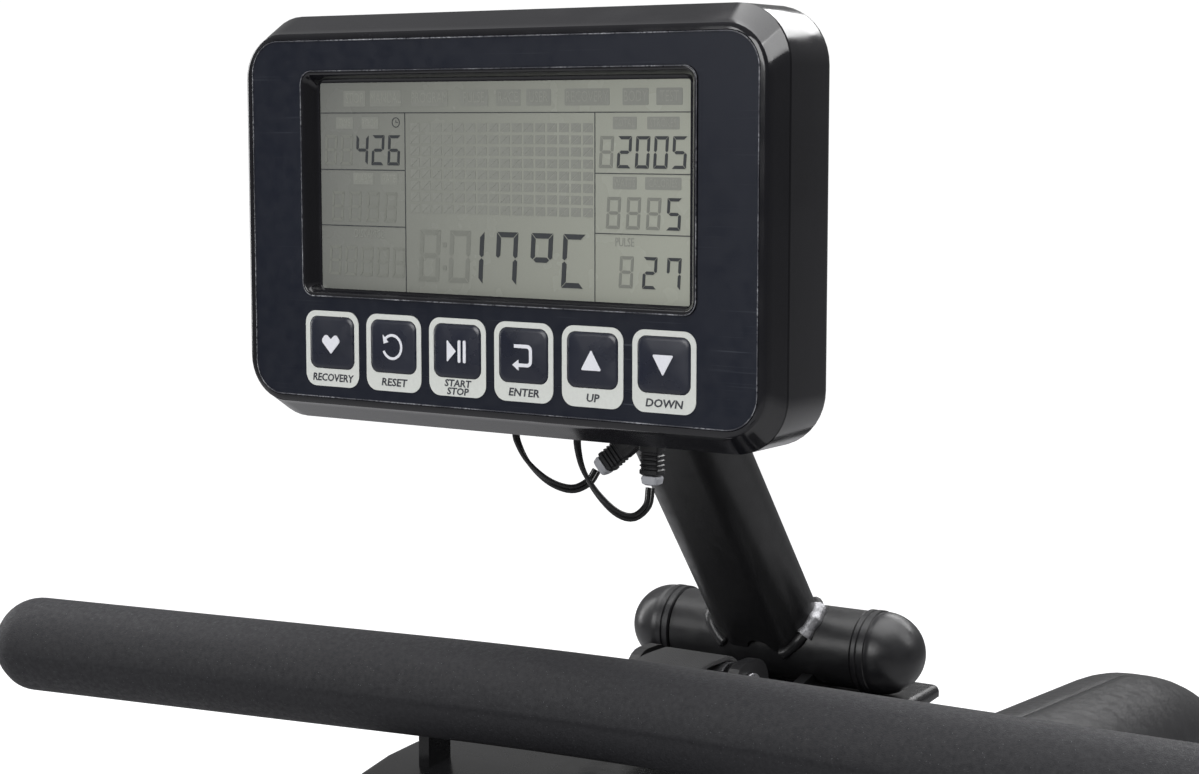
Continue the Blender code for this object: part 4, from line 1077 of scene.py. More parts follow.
def display_words(low, high):
    """Unlit labels, all of them plain words: pale ones on dim plates, and dim ones on the bare panel."""
    plates, pale, dim = [], [], []
    band = (
        ("STOP", -0.0665), ("MANUAL", -0.0515), ("PROGRAM", -0.0305), ("PULSE", -0.0100), ("RACE", 0.0055),
        ("USER", 0.0190), ("RECOVERY", 0.0400), ("BODY", 0.0605), ("TEST", 0.0745),
    )
    for word, u in band:
        half = 0.00105 * len(word) + 0.0012
        plates.append(rounded_box(half, 0.0030, 0.0005, (u, 0.0462)))
        pale.append(text_mesh(word, 0.0056, 0.66, 0, on_face, (u, 0.0462), low, high + 0.00002))
    cells = (
        ("TIME", -0.0715, 0.0370), ("ROOM", -0.0590, 0.0370), ("ALARM", -0.0625, 0.0160),
        ("RATE", -0.0500, 0.0160),
        ("TOTAL", 0.0560, 0.0370), ("STROKES", 0.0720, 0.0370), ("WATTS", 0.0560, 0.0160),
        ("CALORIES", 0.0720, 0.0160),
    )
    for word, u, v in cells:
        half = 0.00082 * len(word) + 0.0009
        plates.append(rounded_box(half, 0.0022, 0.0004, (u, v)))
        pale.append(text_mesh(word, 0.0042, 0.64, 0, on_face, (u, v), low, high + 0.00002))
    for word, u, v in (("DISTANCE", -0.0600, -0.0050), ("PULSE", 0.0560, -0.0050)):
        dim.append(text_mesh(word, 0.0044, 0.70, 0, on_face, (u, v), low, high))
    return plates, pale, dim


def clock_outlines(middle, radius):
    ring = [hull_circle(middle, radius), hull_circle(middle, radius * 0.84)]
    hands = [bar(middle[0] - 0.0001, middle[1] - 0.0001, middle[0] + 0.0011, middle[1] + 0.0001)]
    hands.append(bar(middle[0] - 0.0001, middle[1] + 0.00012, middle[0] + 0.0001, middle[1] + 0.0008))
    return ring + hands


def hull_circle(middle, radius, count=28):
    angles = [2 * math.pi * k / count for k in range(count)]
    return [(middle[0] + radius * math.cos(a), middle[1] + radius * math.sin(a)) for a in angles]


def make_leads():
    """Each lead is a twin wire that hangs from the console and comes up into its connector."""
    strand, apart = 0.00093, 0.00087
    for name, route in LEADS.items():
        points = smooth_path(route, 34)
        strands = []
        for sign in (-1, 1):
            line = [p + side * sign * apart for p, side, _ in lead_frames(points)]
            strands.append(tube_mesh(line, strand, 12))
        lead = finish_piece(
            "console_lead_" + name, join_meshes(strands), "wire", "frame", ["lead_" + name],
        )
        plug = make_connector(name, points)


def lead_frames(points):
    """The two strands turn half round each other once along the lead."""
    made = []
    frames = frames_along(points)
    for i, (point, side, up) in enumerate(frames):
        turn = math.radians(35) + math.radians(150) * i / (len(frames) - 1)
        made.append((point, math.cos(turn) * side + math.sin(turn) * up, up))
    return made


def make_connector(name, points):
    """A black ribbed plug in line with the CAD one, with a pale collar where the wires enter."""
    end = points[-1]
    box_low, box_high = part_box("plug_" + name)
    middle = (box_low + box_high) / 2
    up = Vector((middle.x - end.x, 0, middle.z - end.z)).normalized()
    across = Vector((0, 1, 0)).cross(up)
    deep = Vector((0, 1, 0))

    def section(along, half_wide, half_deep, corner):
        centre = middle + up * along
        outline = rounded_box(half_wide, half_deep, corner, step=math.radians(30))
        return [centre + across * u + deep * v for u, v in outline]

    rings = [section(-0.0080, 0.0036, 0.0024, 0.0008), section(-0.0074, 0.0042, 0.0030, 0.0008)]
    for k in range(4):
        base = -0.0060 + 0.0018 * k
        rings.append(section(base, 0.0042, 0.0030, 0.0008))
        rings.append(section(base + 0.0004, 0.0038, 0.0026, 0.0008))
        rings.append(section(base + 0.0012, 0.0038, 0.0026, 0.0008))
        rings.append(section(base + 0.0016, 0.0042, 0.0030, 0.0008))
    rings.append(section(0.0095, 0.0042, 0.0030, 0.0008))
    rings.append(section(0.0103, 0.0038, 0.0026, 0.0008))
    plug = finish_piece(
        "connector_" + name, rings_mesh(rings), "satin", "frame", ["plug_" + name],
    )
    collar = rings_mesh([
        section(-0.0118, 0.0024, 0.0020, 0.0012),
        section(-0.0112, 0.0034, 0.0028, 0.0014),
        section(-0.0092, 0.0038, 0.0030, 0.0014),
        section(-0.0083, 0.0034, 0.0026, 0.0010),
    ])
    finish_piece("connector_collar_" + name, collar, "frost", "frame")
    return plug


# ---------------------------------------------------------------- head of the frame


def make_crossbar():
    """A tube with a raised ring near each end, and a domed cap on each end."""
    r = CROSSBAR_RADIUS
    half = [(r - 0.0006, CAP_START - 0.0003), (r, CAP_START - 0.0009), (r, 0.0)]
    profile = [(0, half[0][1]), *half, *[(radius, -x) for radius, x in half[:2][::-1]], (0, -half[0][1])]
    tube = spun_mesh(Vector((0, CROSSBAR.y, CROSSBAR.z)), profile, 96)
    finish_piece("crossbar_tube", tube, "coat", "frame", ["crossbar"], sharp=40)
    for side, sign in (("left", -1), ("right", 1)):
        r = CROSSBAR_RADIUS
        profile = [
            (0, CAP_START), (r + 0.0002, CAP_START), (r + 0.0009, CAP_START + 0.0004),
            (r + 0.0009, CAP_START + 0.0022),
            (r + 0.0002, CAP_START + 0.0027), (r + 0.0002, CAP_START + 0.0034),
            (r + 0.0010, CAP_START + 0.0038),
            (r + 0.0010, CAP_START + 0.0060), (r + 0.0003, CAP_START + 0.0064),
            (r + 0.0003, CAP_START + 0.0070),
        ]
        dome_start = CAP_START + 0.0076
        reach = CROSSBAR_HALF - dome_start
        for k in range(19):
            angle = math.radians(5 * k)
            profile.append(((r + 0.0006) * math.cos(angle), dome_start + reach * math.sin(angle)))
        profile[-1] = (0, CROSSBAR_HALF)
        cap = spun_mesh(Vector((0, CROSSBAR.y, CROSSBAR.z)), [(radius, sign * x) for radius, x in profile])
        finish_piece(
            "dome_cap_" + side, cap, "cap", "frame", ["crossbar_cap_" + side],
            sharp=40,
        )


def mast_axes():
    up = Vector((0, -math.sin(MAST_LEAN), math.cos(MAST_LEAN)))
    out = Vector((0, math.cos(MAST_LEAN), math.sin(MAST_LEAN)))
    return up, out


def mast_section(inset=0.0, count=120):
    """(u, n) round the oval tube, n being the distance from its middle plane."""
    radius = MAST_HALF[1] - inset
    straight = MAST_HALF[0] - MAST_HALF[1]
    total = 4 * straight + 2 * math.pi * radius
    points = []
    for k in range(count):
        s = total * k / count
        if s < 2 * straight:
            points.append((straight - s, radius))
        elif s < 2 * straight + math.pi * radius:
            angle = math.pi / 2 + (s - 2 * straight) / radius
            points.append((-straight + radius * math.cos(angle), radius * math.sin(angle)))
        elif s < 4 * straight + math.pi * radius:
            points.append((-straight + s - 2 * straight - math.pi * radius, -radius))
        else:
            angle = -math.pi / 2 + (s - 4 * straight - math.pi * radius) / radius
            points.append((straight + radius * math.cos(angle), radius * math.sin(angle)))
    return points


def mast_foot(u, n, notch=True):
    """Distance along the mast from the crossbar's axis to the tube's coped end."""
    foot = math.sqrt(max((CROSSBAR_RADIUS + 0.0003) ** 2 - n * n, 0))
    if notch and n < 0:
        foot += 0.9 * math.sqrt(max(0.0062**2 - (u - 0.002) ** 2, 0))
    return foot


def make_mast():
    up, out = mast_axes()
    foot = Vector((0, CROSSBAR.y, CROSSBAR.z))
    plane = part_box("console_bracket")[1].y + 0.0003

    def top(n):
        return (foot.y + n * out.y - plane) / math.sin(MAST_LEAN)

    def ring(section, share):
        made = []
        for u, n in section:
            low, high = mast_foot(u, n), top(n)
            made.append(foot + Vector((u, 0, 0)) + out * n + up * (low + (high - low) * share))
        return made

    outer, inner = mast_section(), mast_section(MAST_WALL)
    shares = [0, 0.01, 0.05, 0.2, 0.5, 0.8, 0.95, 0.99, 1]
    rings = [ring(outer, s) for s in shares] + [ring(inner, s) for s in shares[::-1]]
    finish_piece(
        "mast_tube", rings_mesh(rings, loop=True), "coat", "frame", ["console_mast"],
        sharp=45,
    )


def weld_bead(path, radius, name, look):
    """A rippled bead along a path."""
    radii = [radius * (1 + 0.10 * math.cos(k * 0.31) + 0.06 * math.cos(k * 0.13 + 1)) for k in range(len(path))]
    radii[0] = radii[-1] = radius * 0.3
    finish_piece(name, tube_mesh(path, radii, 12), look, "frame", sharp=80)


def make_welds():
    """Coated beads round the mast's foot, and a stretch on its right side that is left bare."""
    up, out = mast_axes()
    foot = Vector((0, CROSSBAR.y, CROSSBAR.z))
    straight = MAST_HALF[0] - MAST_HALF[1]

    def around(first, last, count, grow=0.0006):
        path = []
        for k in range(count):
            angle = math.radians(first + (last - first) * k / (count - 1))
            u = math.copysign(straight, math.cos(angle)) + (MAST_HALF[1] + grow) * math.cos(angle)
            n = (MAST_HALF[1] + grow) * math.sin(angle)
            path.append(foot + Vector((u, 0, 0)) + out * n + up * mast_foot(u, n, notch=False))
        return path

    weld_bead(around(-34, 20, 40), 0.0040, "weld_right_bare", "weld")
    weld_bead(around(22, 70, 30), 0.0028, "weld_right_coated", "coat")
    weld_bead(around(-80, -28, 30), 0.0026, "weld_right_low", "coat")
    weld_bead(around(110, 250, 60), 0.0030, "weld_left", "coat")
    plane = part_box("console_bracket")[1].y
    top = []
    for k in range(60):
        angle = 2 * math.pi * k / 60
        u = math.copysign(straight, math.cos(angle)) + MAST_HALF[1] * math.cos(angle)
        n = MAST_HALF[1] * math.sin(angle)
        t = (foot.y + n * out.y - plane) / math.sin(MAST_LEAN)
        top.append(foot + Vector((u, 0, 0)) + out * n + up * (t - 0.001))
    weld_bead(top, 0.0018, "weld_top", "coat")


def strap_line(fine=14):
    """(y, z) along the strap's middle, over the roller and down to the reel."""
    roller, reel = Vector((ROLLER.y, ROLLER.z)), Vector((REEL.y, REEL.z))
    over = ROLLER_RADIUS + 0.0013
    run = reel - roller
    lean = math.asin((REEL_PACK - over) / run.length)
    last = math.atan2(run.y, run.x) + math.pi / 2 + lean
    start = Vector((BRACKET[1].y + 0.0004, roller.y + over))
    turn_in = Vector((roller.x, roller.y + over))
    points = [start.lerp(turn_in, k / 16) for k in range(16)]
    for k in range(fine + 1):
        angle = math.pi / 2 + (last - math.pi / 2) * k / fine
        points.append(roller + over * Vector((math.cos(angle), math.sin(angle))))
    end = reel + REEL_PACK * Vector((math.cos(last), math.sin(last)))
    begin = points[-1]
    points.extend(begin.lerp(end, k / 24) for k in range(1, 25))
    return points


def make_strap():
    line = strap_line()
    rings = []
    handle_x = middle_of("handle_bracket").x
    reach = ROLLER.y - line[0].x
    for i, point in enumerate(line):
        ahead = (line[min(i + 1, len(line) - 1)] - line[max(i - 1, 0)]).normalized()
        up = Vector((-ahead.y, ahead.x))
        shift = handle_x * max(0.0, (ROLLER.y - 0.012 - point.x) / (reach - 0.012)) ** 1.3
        ring = []
        for u, v in rounded_box(STRAP_WIDE / 2, STRAP_THICK / 2, 0.0006, step=math.radians(45)):
            y, z = point + up * v
            ring.append(Vector((shift + u, y, z)))
        rings.append(ring)
    strap = finish_piece("pull_strap", rings_mesh(rings), "strap", None, ["strap"], sharp=70)
    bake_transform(strap)


def tray_section(y, top, half_width, edge, gap):
    """One half of the tray at a y, from its side edge to the slot, as a closed ring."""
    outside, inside = [], []
    for inset, path in ((0.0, outside), (TRAY_THICK, inside)):
        corner = edge * TRAY_ROUND - inset
        middle = (half_width - inset - corner, top - edge * TRAY_ROUND)
        path.append((half_width - inset, top - edge))
        for k in range(10):
            angle = math.radians(10 * k)
            path.append((middle[0] + corner * math.cos(angle), middle[1] + corner * math.sin(angle)))
        path.append((gap, top - inset))
    return [Vector((x, y, h)) for x, h in outside], [Vector((x, y, h)) for x, h in inside]


def along_tray(y):
    """The tray's numbers at a y between its given places."""
    for a, b in zip(TRAY_LINE, TRAY_LINE[1:]):
        if y <= b[0]:
            share = (y - a[0]) / (b[0] - a[0])
            return tuple(p + (q - p) * share for p, q in zip(a, b))
    return TRAY_LINE[-1]


def make_tray():
    """A pressed tray: round in front, with turned-down side edges, and a slot for the neck."""
    slot_start, slot_edge = 0.3450, 0.0285
    parts = []
    for sign in (-1, 1):
        rings = []
        for y in (slot_start, 0.380, 0.430, 0.460, 0.4630, 0.4640):
            outside, inside = tray_section(*along_tray(y), slot_edge)
            ring = outside + inside[::-1]
            rings.append([Vector((p.x * sign, p.y, p.z)) for p in ring])
        parts.append(rings_mesh(rings))
    whole = []
    places = [line[0] for line in TRAY_LINE if line[0] < slot_start] + [slot_start]
    for y in places:
        outside, inside = tray_section(*along_tray(y), slot_edge)
        mirrored_out = [Vector((-p.x, p.y, p.z)) for p in outside[::-1]]
        mirrored_in = [Vector((-p.x, p.y, p.z)) for p in inside]
        whole.append(outside + mirrored_out + mirrored_in + inside[::-1])
    parts.append(rings_mesh(whole))
    for x in (-0.050, 0.050):
        parts.append(tray_lug(x))
    finish_piece(
        "rest_tray", join_meshes(parts), "tray", "frame", ["handle_tray"], sharp=40,
    )
    # A second sheet under the tray, whose edge shows past the crossbar's right end.
    stays = []
    for sign in (-1, 1):
        under = []
        for y in (0.300, 0.360, 0.4600):
            top, outer = along_tray(y)[1] - 0.0052, along_tray(y)[2] - 0.0030
            middle, half = (outer + slot_edge) / 2, (outer - slot_edge) / 2
            ring = rounded_box(half, 0.0010, 0.0007, (middle, 0), math.radians(45))
            under.append([Vector((sign * u, y, top + v)) for u, v in ring])
        stays.append(rings_mesh(under))
    # A web joins the two side plates below the crossbar, behind the strap.
    stays.append(box_mesh((0, 0.4495, 0.6715), (0.0436, 0.0030, 0.0330)))
    finish_piece("tray_stay", join_meshes(stays), "tray", "frame")


def tray_lug(x):
    """One stop behind the grip, with a toe under it."""
    first, bend, last = HANDLE_POINTS
    side = first if x < bend[0] else last
    middle = side[1] + (x - side[0]) / (bend[0] - side[0]) * (bend[1] - side[1])
    back = middle + GRIP_RADIUS + 0.0015
    outline = rounded((
        (back - 0.006, 0.6840, 0),
        (back + 0.008, 0.6840, 0),
        (back + 0.008, 0.7270, 0.003),
        (back, 0.7270, 0.003),
        (back, 0.7060, 0.002),
        (back - 0.006, 0.7060, 0.002),
    ))
    return flat_mesh([outline], lambda u, v, depth: Vector((x + depth, u, v)), -0.0025, 0.0025)


# ---------------------------------------------------------------- handle


def grip_line(count=90):
    """The handle's centre line with a smooth bend."""
    first, bend, last = (Vector((x, y, HANDLE_Z)) for x, y in HANDLE_POINTS)
    reach = 0.070
    into = bend + (first - bend).normalized() * reach
    away = bend + (last - bend).normalized() * reach
    points = [first.lerp(into, k / 30) for k in range(30)]
    for k in range(25):
        t = k / 24
        points.append((1 - t) ** 2 * into + 2 * t * (1 - t) * bend + t * t * away)
    points.extend(away.lerp(last, k / 30) for k in range(1, 31))
    return points


def make_handle():
    line = grip_line()
    rings = []
    sides = 120
    up = Vector((0, 0, 1))
    stations = end_stations(line)
    for point, ahead, size in stations:
        side = ahead.cross(up).normalized()
        over = side.cross(ahead)
        ring = []
        for k in range(sides):
            angle = 2 * math.pi * k / sides
            # A flat of the mould runs along the lower side of the foam, below a soft crease.
            below = 1 / (1 + math.exp(-(math.radians(355) - angle) / 0.025))
            below *= 1 / (1 + math.exp(-(angle - math.radians(304)) / 0.05))
            ridge = 1 - 0.030 * below + 0.009 * math.exp(-(((angle - math.radians(357)) / 0.05) ** 2))
            ring.append(point + size * GRIP_RADIUS * ridge * (math.cos(angle) * side + math.sin(angle) * over))
        rings.append(ring)
    grip = finish_piece(
        "foam_grip", rings_mesh(rings), "foam", "handle", ["handle_grip", "handle_core"],
        sharp=60,
    )


def end_stations(line):
    """(point, direction, share of the radius) along the grip, closing in a rounded end."""
    stations = []
    first = (line[1] - line[0]).normalized()
    last = (line[-1] - line[-2]).normalized()
    round_long = 0.0175
    steps = 14
    for k in range(steps + 1):
        angle = math.radians(90 * k / steps)
        share = 0.06 + 0.94 * math.sin(angle) ** 0.9
        stations.append((line[0] + first * (0.0015 + round_long * (1 - math.cos(angle))), first, share))
    clear = round_long + 0.003
    inside = [p for p in line if (p - line[0]).length > clear and (p - line[-1]).length > clear]
    for i, point in enumerate(inside):
        ahead = (inside[min(i + 1, len(inside) - 1)] - inside[max(i - 1, 0)]).normalized()
        stations.append((point, ahead, 1.0))
    for k in range(steps, -1, -1):
        angle = math.radians(90 * k / steps)
        share = 0.06 + 0.94 * math.sin(angle) ** 0.9
        stations.append((line[-1] - last * (0.0015 + round_long * (1 - math.cos(angle))), last, share))
    return stations


def make_handle_bracket():
    """A bent yoke that holds the strap's pin."""
    low, high = BRACKET
    middle = (low + high) / 2
    front = high.y
    level = ROLLER.z + ROLLER_RADIUS + 0.0013
    cheek = rounded((
        (front, 0.7010, 0.004), (front, 0.7170, 0.005), (0.2700, 0.7265, 0.003), (0.2560, 0.7265, 0),
        (0.2560, 0.7155, 0), (0.2700, 0.7140, 0.003), (front - 0.016, 0.7010, 0.004),
    ))
    parts = []
    for sign in (-1, 1):
        x = middle.x + sign * 0.0200
        parts.append(flat_mesh([cheek], lambda u, v, depth, x=x: Vector((x + depth, u, v)), -0.002, 0.002))
    parts.append(box_mesh((middle.x, 0.2610, 0.7210), (0.040, 0.010, 0.010)))
    parts.append(tube_mesh([Vector((middle.x + x, front - 0.007, level)) for x in (-0.021, 0.021)], 0.0035))
    finish_piece(
        "strap_yoke", join_meshes(parts), "steel", "handle", ["handle_bracket"],
        bevel=0.0006,
    )
    loop = []
    ring_points = []
    for k in range(13):
        angle = math.radians(90 + 15 * k)
        ring_points.append((front - 0.007 + 0.0050 * math.cos(angle), level + 0.0050 * math.sin(angle)))
    ends = [(front + 0.0002, level + 0.0012), *ring_points, (front + 0.0002, level - 0.0012)]
    for i, (y, z) in enumerate(ends):
        before, after = ends[max(i - 1, 0)], ends[min(i + 1, len(ends) - 1)]
        ahead = Vector((after[0] - before[0], after[1] - before[1])).normalized()
        up = Vector((-ahead.y, ahead.x))
        loop.append([
            Vector((middle.x + u, y + up.x * v, z + up.y * v))
            for u, v in rounded_box(STRAP_WIDE / 2, 0.0009, 0.0005, step=math.radians(45))
        ])
    finish_piece("strap_eye", rings_mesh(loop), "strap", "handle", sharp=70)


# ---------------------------------------------------------------- housing


def make_housing():
    steps = 14
    for side, sign in (("left", -1), ("right", 1)):
        flat_part = HOUSING_HALF - HOUSING_RIM

        def ring(x, inset):
            return [Vector((sign * x, y, z)) for y, z in hull(HOUSING_CIRCLES, -inset, math.radians(4))]

        rings = [ring(0.0002, 0.0050), ring(0.0002, 0.0003), ring(0.0006, 0.0)]
        for k in range(steps + 1):
            angle = math.radians(90) * k / steps
            rings.append(ring(flat_part + HOUSING_RIM * math.sin(angle), HOUSING_RIM * (1 - math.cos(angle))))
        # A shallow step frames the flat side.
        inset = HOUSING_RIM
        rings.append(ring(HOUSING_HALF, inset + 0.010))
        rings.append(ring(HOUSING_HALF - 0.0008, inset + 0.0112))
        rings.append(ring(HOUSING_HALF - 0.0016, inset + 0.0118))
        shell = rings_mesh(rings)
        name = "cover_" + side
        cover = finish_piece(
            name, shell, "housing", "frame", ["housing_" + side], sharp=40,
        )
        cut_openings(cover, sign)
        make_cover_details(side, sign)


def cut_openings(cover, sign):
    """Cuts the ways out for the neck, the rail and the beam."""
    clear = 0.0280
    cutters = [
        flat_mesh([((0.40, 0.50), (0.52, 0.45), (0.575, 0.56), (0.50, 0.70), (0.36, 0.70))], side_view(), -clear, clear),
        box_mesh((0, 0.40, 0.17), (2 * clear, 0.12, 0.21)),
        box_mesh((0, 0.70, 0.08), (2 * clear, 0.62, 0.06)),
    ]
    for bm in cutters:
        bmesh.ops.recalc_face_normals(bm, faces=bm.faces)
        mesh = bpy.data.meshes.new("cutter")
        bm.to_mesh(mesh)
        bm.free()
        cutter = bpy.data.objects.new("cutter", mesh)
        bpy.context.scene.collection.objects.link(cutter)
        modifier = cover.modifiers.new("opening", "BOOLEAN")
        modifier.object = cutter
        modifier.operation = "DIFFERENCE"
        bpy.context.view_layer.update()
        graph = bpy.context.evaluated_depsgraph_get()
        made = bpy.data.meshes.new_from_object(cover.evaluated_get(graph))
        cover.modifiers.remove(modifier)
        old = cover.data
        cover.data = made
        bpy.data.meshes.remove(old)
        bpy.data.objects.remove(cutter)
    cover.data.set_sharp_from_angle(angle=math.radians(40))


def make_cover_details(side, sign):
    """A round boss over the flywheel, with its vents, and the screws of one cover."""
    face = HOUSING_HALF - 0.0016
    centre = Vector((0, FLYWHEEL.y, FLYWHEEL.z))
    profile = [
        (0.0, face + 0.0016), (0.030, face + 0.0016), (0.034, face + 0.0010), (0.036, face - 0.0004),
        (0.040, face - 0.0006),
        (0.042, face + 0.0006), (0.118, face + 0.0014), (0.122, face + 0.0010), (0.1245, face - 0.0010),
        (0.0, face - 0.0012),
    ]
    disc = spun_mesh(centre, [(radius, sign * x) for radius, x in profile], 96)
    finish_piece("cover_disc_" + side, disc, "satin", "frame", sharp=30)
    slots = []
    for k in range(24):
        angle = 2 * math.pi * k / 24
        turn = Matrix.Rotation(angle, 3, "X")
        bm = box_mesh((sign * (face + 0.0014), 0, 0.084), (0.0012, 0.0045, 0.046))
        bmesh.ops.rotate(bm, matrix=turn, verts=bm.verts)
        bmesh.ops.translate(bm, vec=centre, verts=bm.verts)
        slots.append(bm)
    finish_piece(
        "cover_ribs_" + side, join_meshes(slots), "satin", "frame", bevel=0.0004,
    )
    screws = []
    for y, z in ((0.560, 0.520), (0.520, 0.200), (0.700, 0.185), (0.900, 0.190), (0.720, 0.530)):
        place = Vector((sign * (face - 0.0002), y, z))
        screws.append(screw_head(place, Vector((sign, 0, 0)), 0.0042))
    finish_piece("cover_screws_" + side, join_meshes(screws), "steel", "frame")


# ---------------------------------------------------------------- rail and seat


def on_rail(along, above, x=0.0):
    """A place from a distance forwards along the rail and above its centre line."""
    return RAIL_ORIGIN - RAIL_BACK * along + RAIL_UP * above + Vector((x, 0, 0))


def make_rail():
    """An extruded rail with a groove in each side and a shallow track on top."""
    w, h = RAIL_HALF
    right = [
        (0, -h), (w - 0.004, -h), (w - 0.0015, -h + 0.0010), (w, -h + 0.004), (w, -0.0130),
        (w - 0.0035, -0.0110),
        (w - 0.0035, 0.0110), (w, 0.0130), (w, h - 0.004), (w - 0.0015, h - 0.0010), (w - 0.004, h),
        (w - 0.0080, h), (w - 0.0080, h - 0.0006), (0, h - 0.0006),
    ]
    outline = right + [(-u, v) for u, v in right[-2:0:-1]]
    rail_low, rail_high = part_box("rail")
    ends = [(rail_high.y) / -RAIL_BACK.y - 0.0002, rail_low.y / -RAIL_BACK.y + 0.0015]
    rings = [[on_rail(along, v, u) for u, v in outline] for along in ends]
    finish_piece(
        "rail_profile", rings_mesh(rings), "rail", "frame", ["rail"], sharp=25,
        bevel=0.0004,
    )


def seat_height(u, v):
    """Top of the moulded seat: two hollows, a raised middle and a lip at the back."""
    a, b = u / SEAT_HALF[0], v / SEAT_HALF[1]
    hollows = sum(math.exp(-(((a - c) / 0.36) ** 2) - ((b + 0.10) / 0.52) ** 2) for c in (-0.46, 0.46))
    ridge = math.exp(-((a / 0.16) ** 2)) * math.exp(-(((b - 0.25) / 0.6) ** 2))
    lip = math.exp(-(((b + 0.92) / 0.30) ** 2))
    return -0.0125 * hollows + 0.0020 * ridge + 0.0045 * lip


def seat_outline(inset, count=96):
    """Plan of the seat: wider behind, with round corners and a slight waist in front."""
    points = []
    for k in range(count):
        angle = 2 * math.pi * k / count
        c, s = math.cos(angle), math.sin(angle)
        power = 2 / 3.6
        u = math.copysign(abs(c) ** power, c) * (SEAT_HALF[0] - inset)
        v = math.copysign(abs(s) ** power, s) * (SEAT_HALF[1] - inset)
        v -= 0.010 * math.exp(-((u / 0.05) ** 2)) * max(s, 0) ** 3
        points.append((u * (0.965 + 0.03 * max(-s, 0)), v))
    return points


def make_seat():
    rest = SEAT_Y / -RAIL_BACK.y
    top = 0.0500

    def ring(height, inset, follow=0.0):
        return [on_rail(rest + v, SEAT_BASE + height + follow * seat_height(u, v), u) for u, v in seat_outline(inset)]

    rings = [
        ring(0.0100, 0.030), ring(0.0100, 0.006), ring(0.0108, 0.003), ring(0.0135, 0.0012),
        ring(0.0200, 0.0006),
        ring(0.0300, 0.0008), ring(0.0380, 0.0020, 0.3), ring(0.0440, 0.0050, 0.6), ring(0.0480, 0.0100, 0.85),
        ring(top, 0.0170, 1.0),
    ]
    for k in range(1, 11):
        rings.append(ring(top + 0.0015 * math.sin(k / 10 * math.pi / 2), 0.0170 + 0.0093 * k, 1.0))
    pad = finish_piece(
        "moulded_seat", rings_mesh(rings), "skin", "seat", ["seat_cushion"], sharp=70,
    )
    seam = []
    for u, v in seat_outline(-0.0004):
        seam.append(on_rail(rest + v, SEAT_BASE + 0.0118, u))
    finish_piece("seat_piping", closed_tube(seam, 0.0016, 10), "rubber", "seat", sharp=80)
    pan = [
        ring(0.0002, 0.045), ring(0.0002, 0.016), ring(0.0010, 0.0125), ring(0.0085, 0.0045),
        ring(0.0100, 0.0040), ring(0.0100, 0.030),
    ]
    finish_piece("seat_pan", rings_mesh(pan), "satin", "seat", sharp=40)


def closed_tube(points, radius, sides, axis=RAIL_UP):
    """A round bead along a closed path, which lies across the axis."""
    rings = []
    count = len(points)
    for i, point in enumerate(points):
        ahead = (points[(i + 1) % count] - points[i - 1]).normalized()
        side = ahead.cross(axis).normalized()
        up = side.cross(ahead)
        angles = [2 * math.pi * k / sides for k in range(sides)]
        rings.append([point + radius * (math.cos(a) * side + math.sin(a) * up) for a in angles])
    return rings_mesh(rings, loop=True)


def make_carriage():
    """Nuts and washers on the carriage's four axles."""
    parts = []
    for tag in ("front_top", "rear_top", "front_bottom", "rear_bottom"):
        wheel = middle_of("seat_wheel_" + tag)
        for sign in (-1, 1):
            place = Vector((sign * 0.0342, wheel.y, wheel.z))
            parts.append(nut(place, Vector((sign, 0, 0)), 0.0072, 0.0048))
    finish_piece("carriage_nuts", join_meshes(parts), "steel", "seat", bevel=0.0003)


def nut(place, out, radius, high):
    """A hexagonal nut on a washer."""
    side = out.orthogonal().normalized()
    up = out.cross(side)

    def ring(size, height, count):
        angles = [2 * math.pi * k / count for k in range(count)]
        return [place + out * height + size * (math.cos(a) * side + math.sin(a) * up) for a in angles]

    washer = rings_mesh([ring(radius * 1.25, 0.0, 24), ring(radius * 1.25, 0.0012, 24)])
    body = rings_mesh([ring(radius, 0.0013, 6), ring(radius, 0.0013 + high, 6)])
    stud = rings_mesh([ring(radius * 0.5, 0.002, 16), ring(radius * 0.5, 0.0032 + high, 16)])
    return join_meshes([washer, body, stud])


# ---------------------------------------------------------------- pedals


def on_pedal(x, along, above):
    """A place on a footplate: forwards along it, and above its pivot."""
    c, s = math.cos(PEDAL_TILT), math.sin(PEDAL_TILT)
    return Vector((x, PEDAL_PIVOT.y + along * c - above * s, PEDAL_PIVOT.z + along * s + above * c))


def make_pedals():
    for side, sign in (("left", -1), ("right", 1)):
        x = sign * PEDAL_PIVOT.x
        body = "pedal_" + side
        make_footplate(side, body, x)
        make_foot_strap(side, body, x)


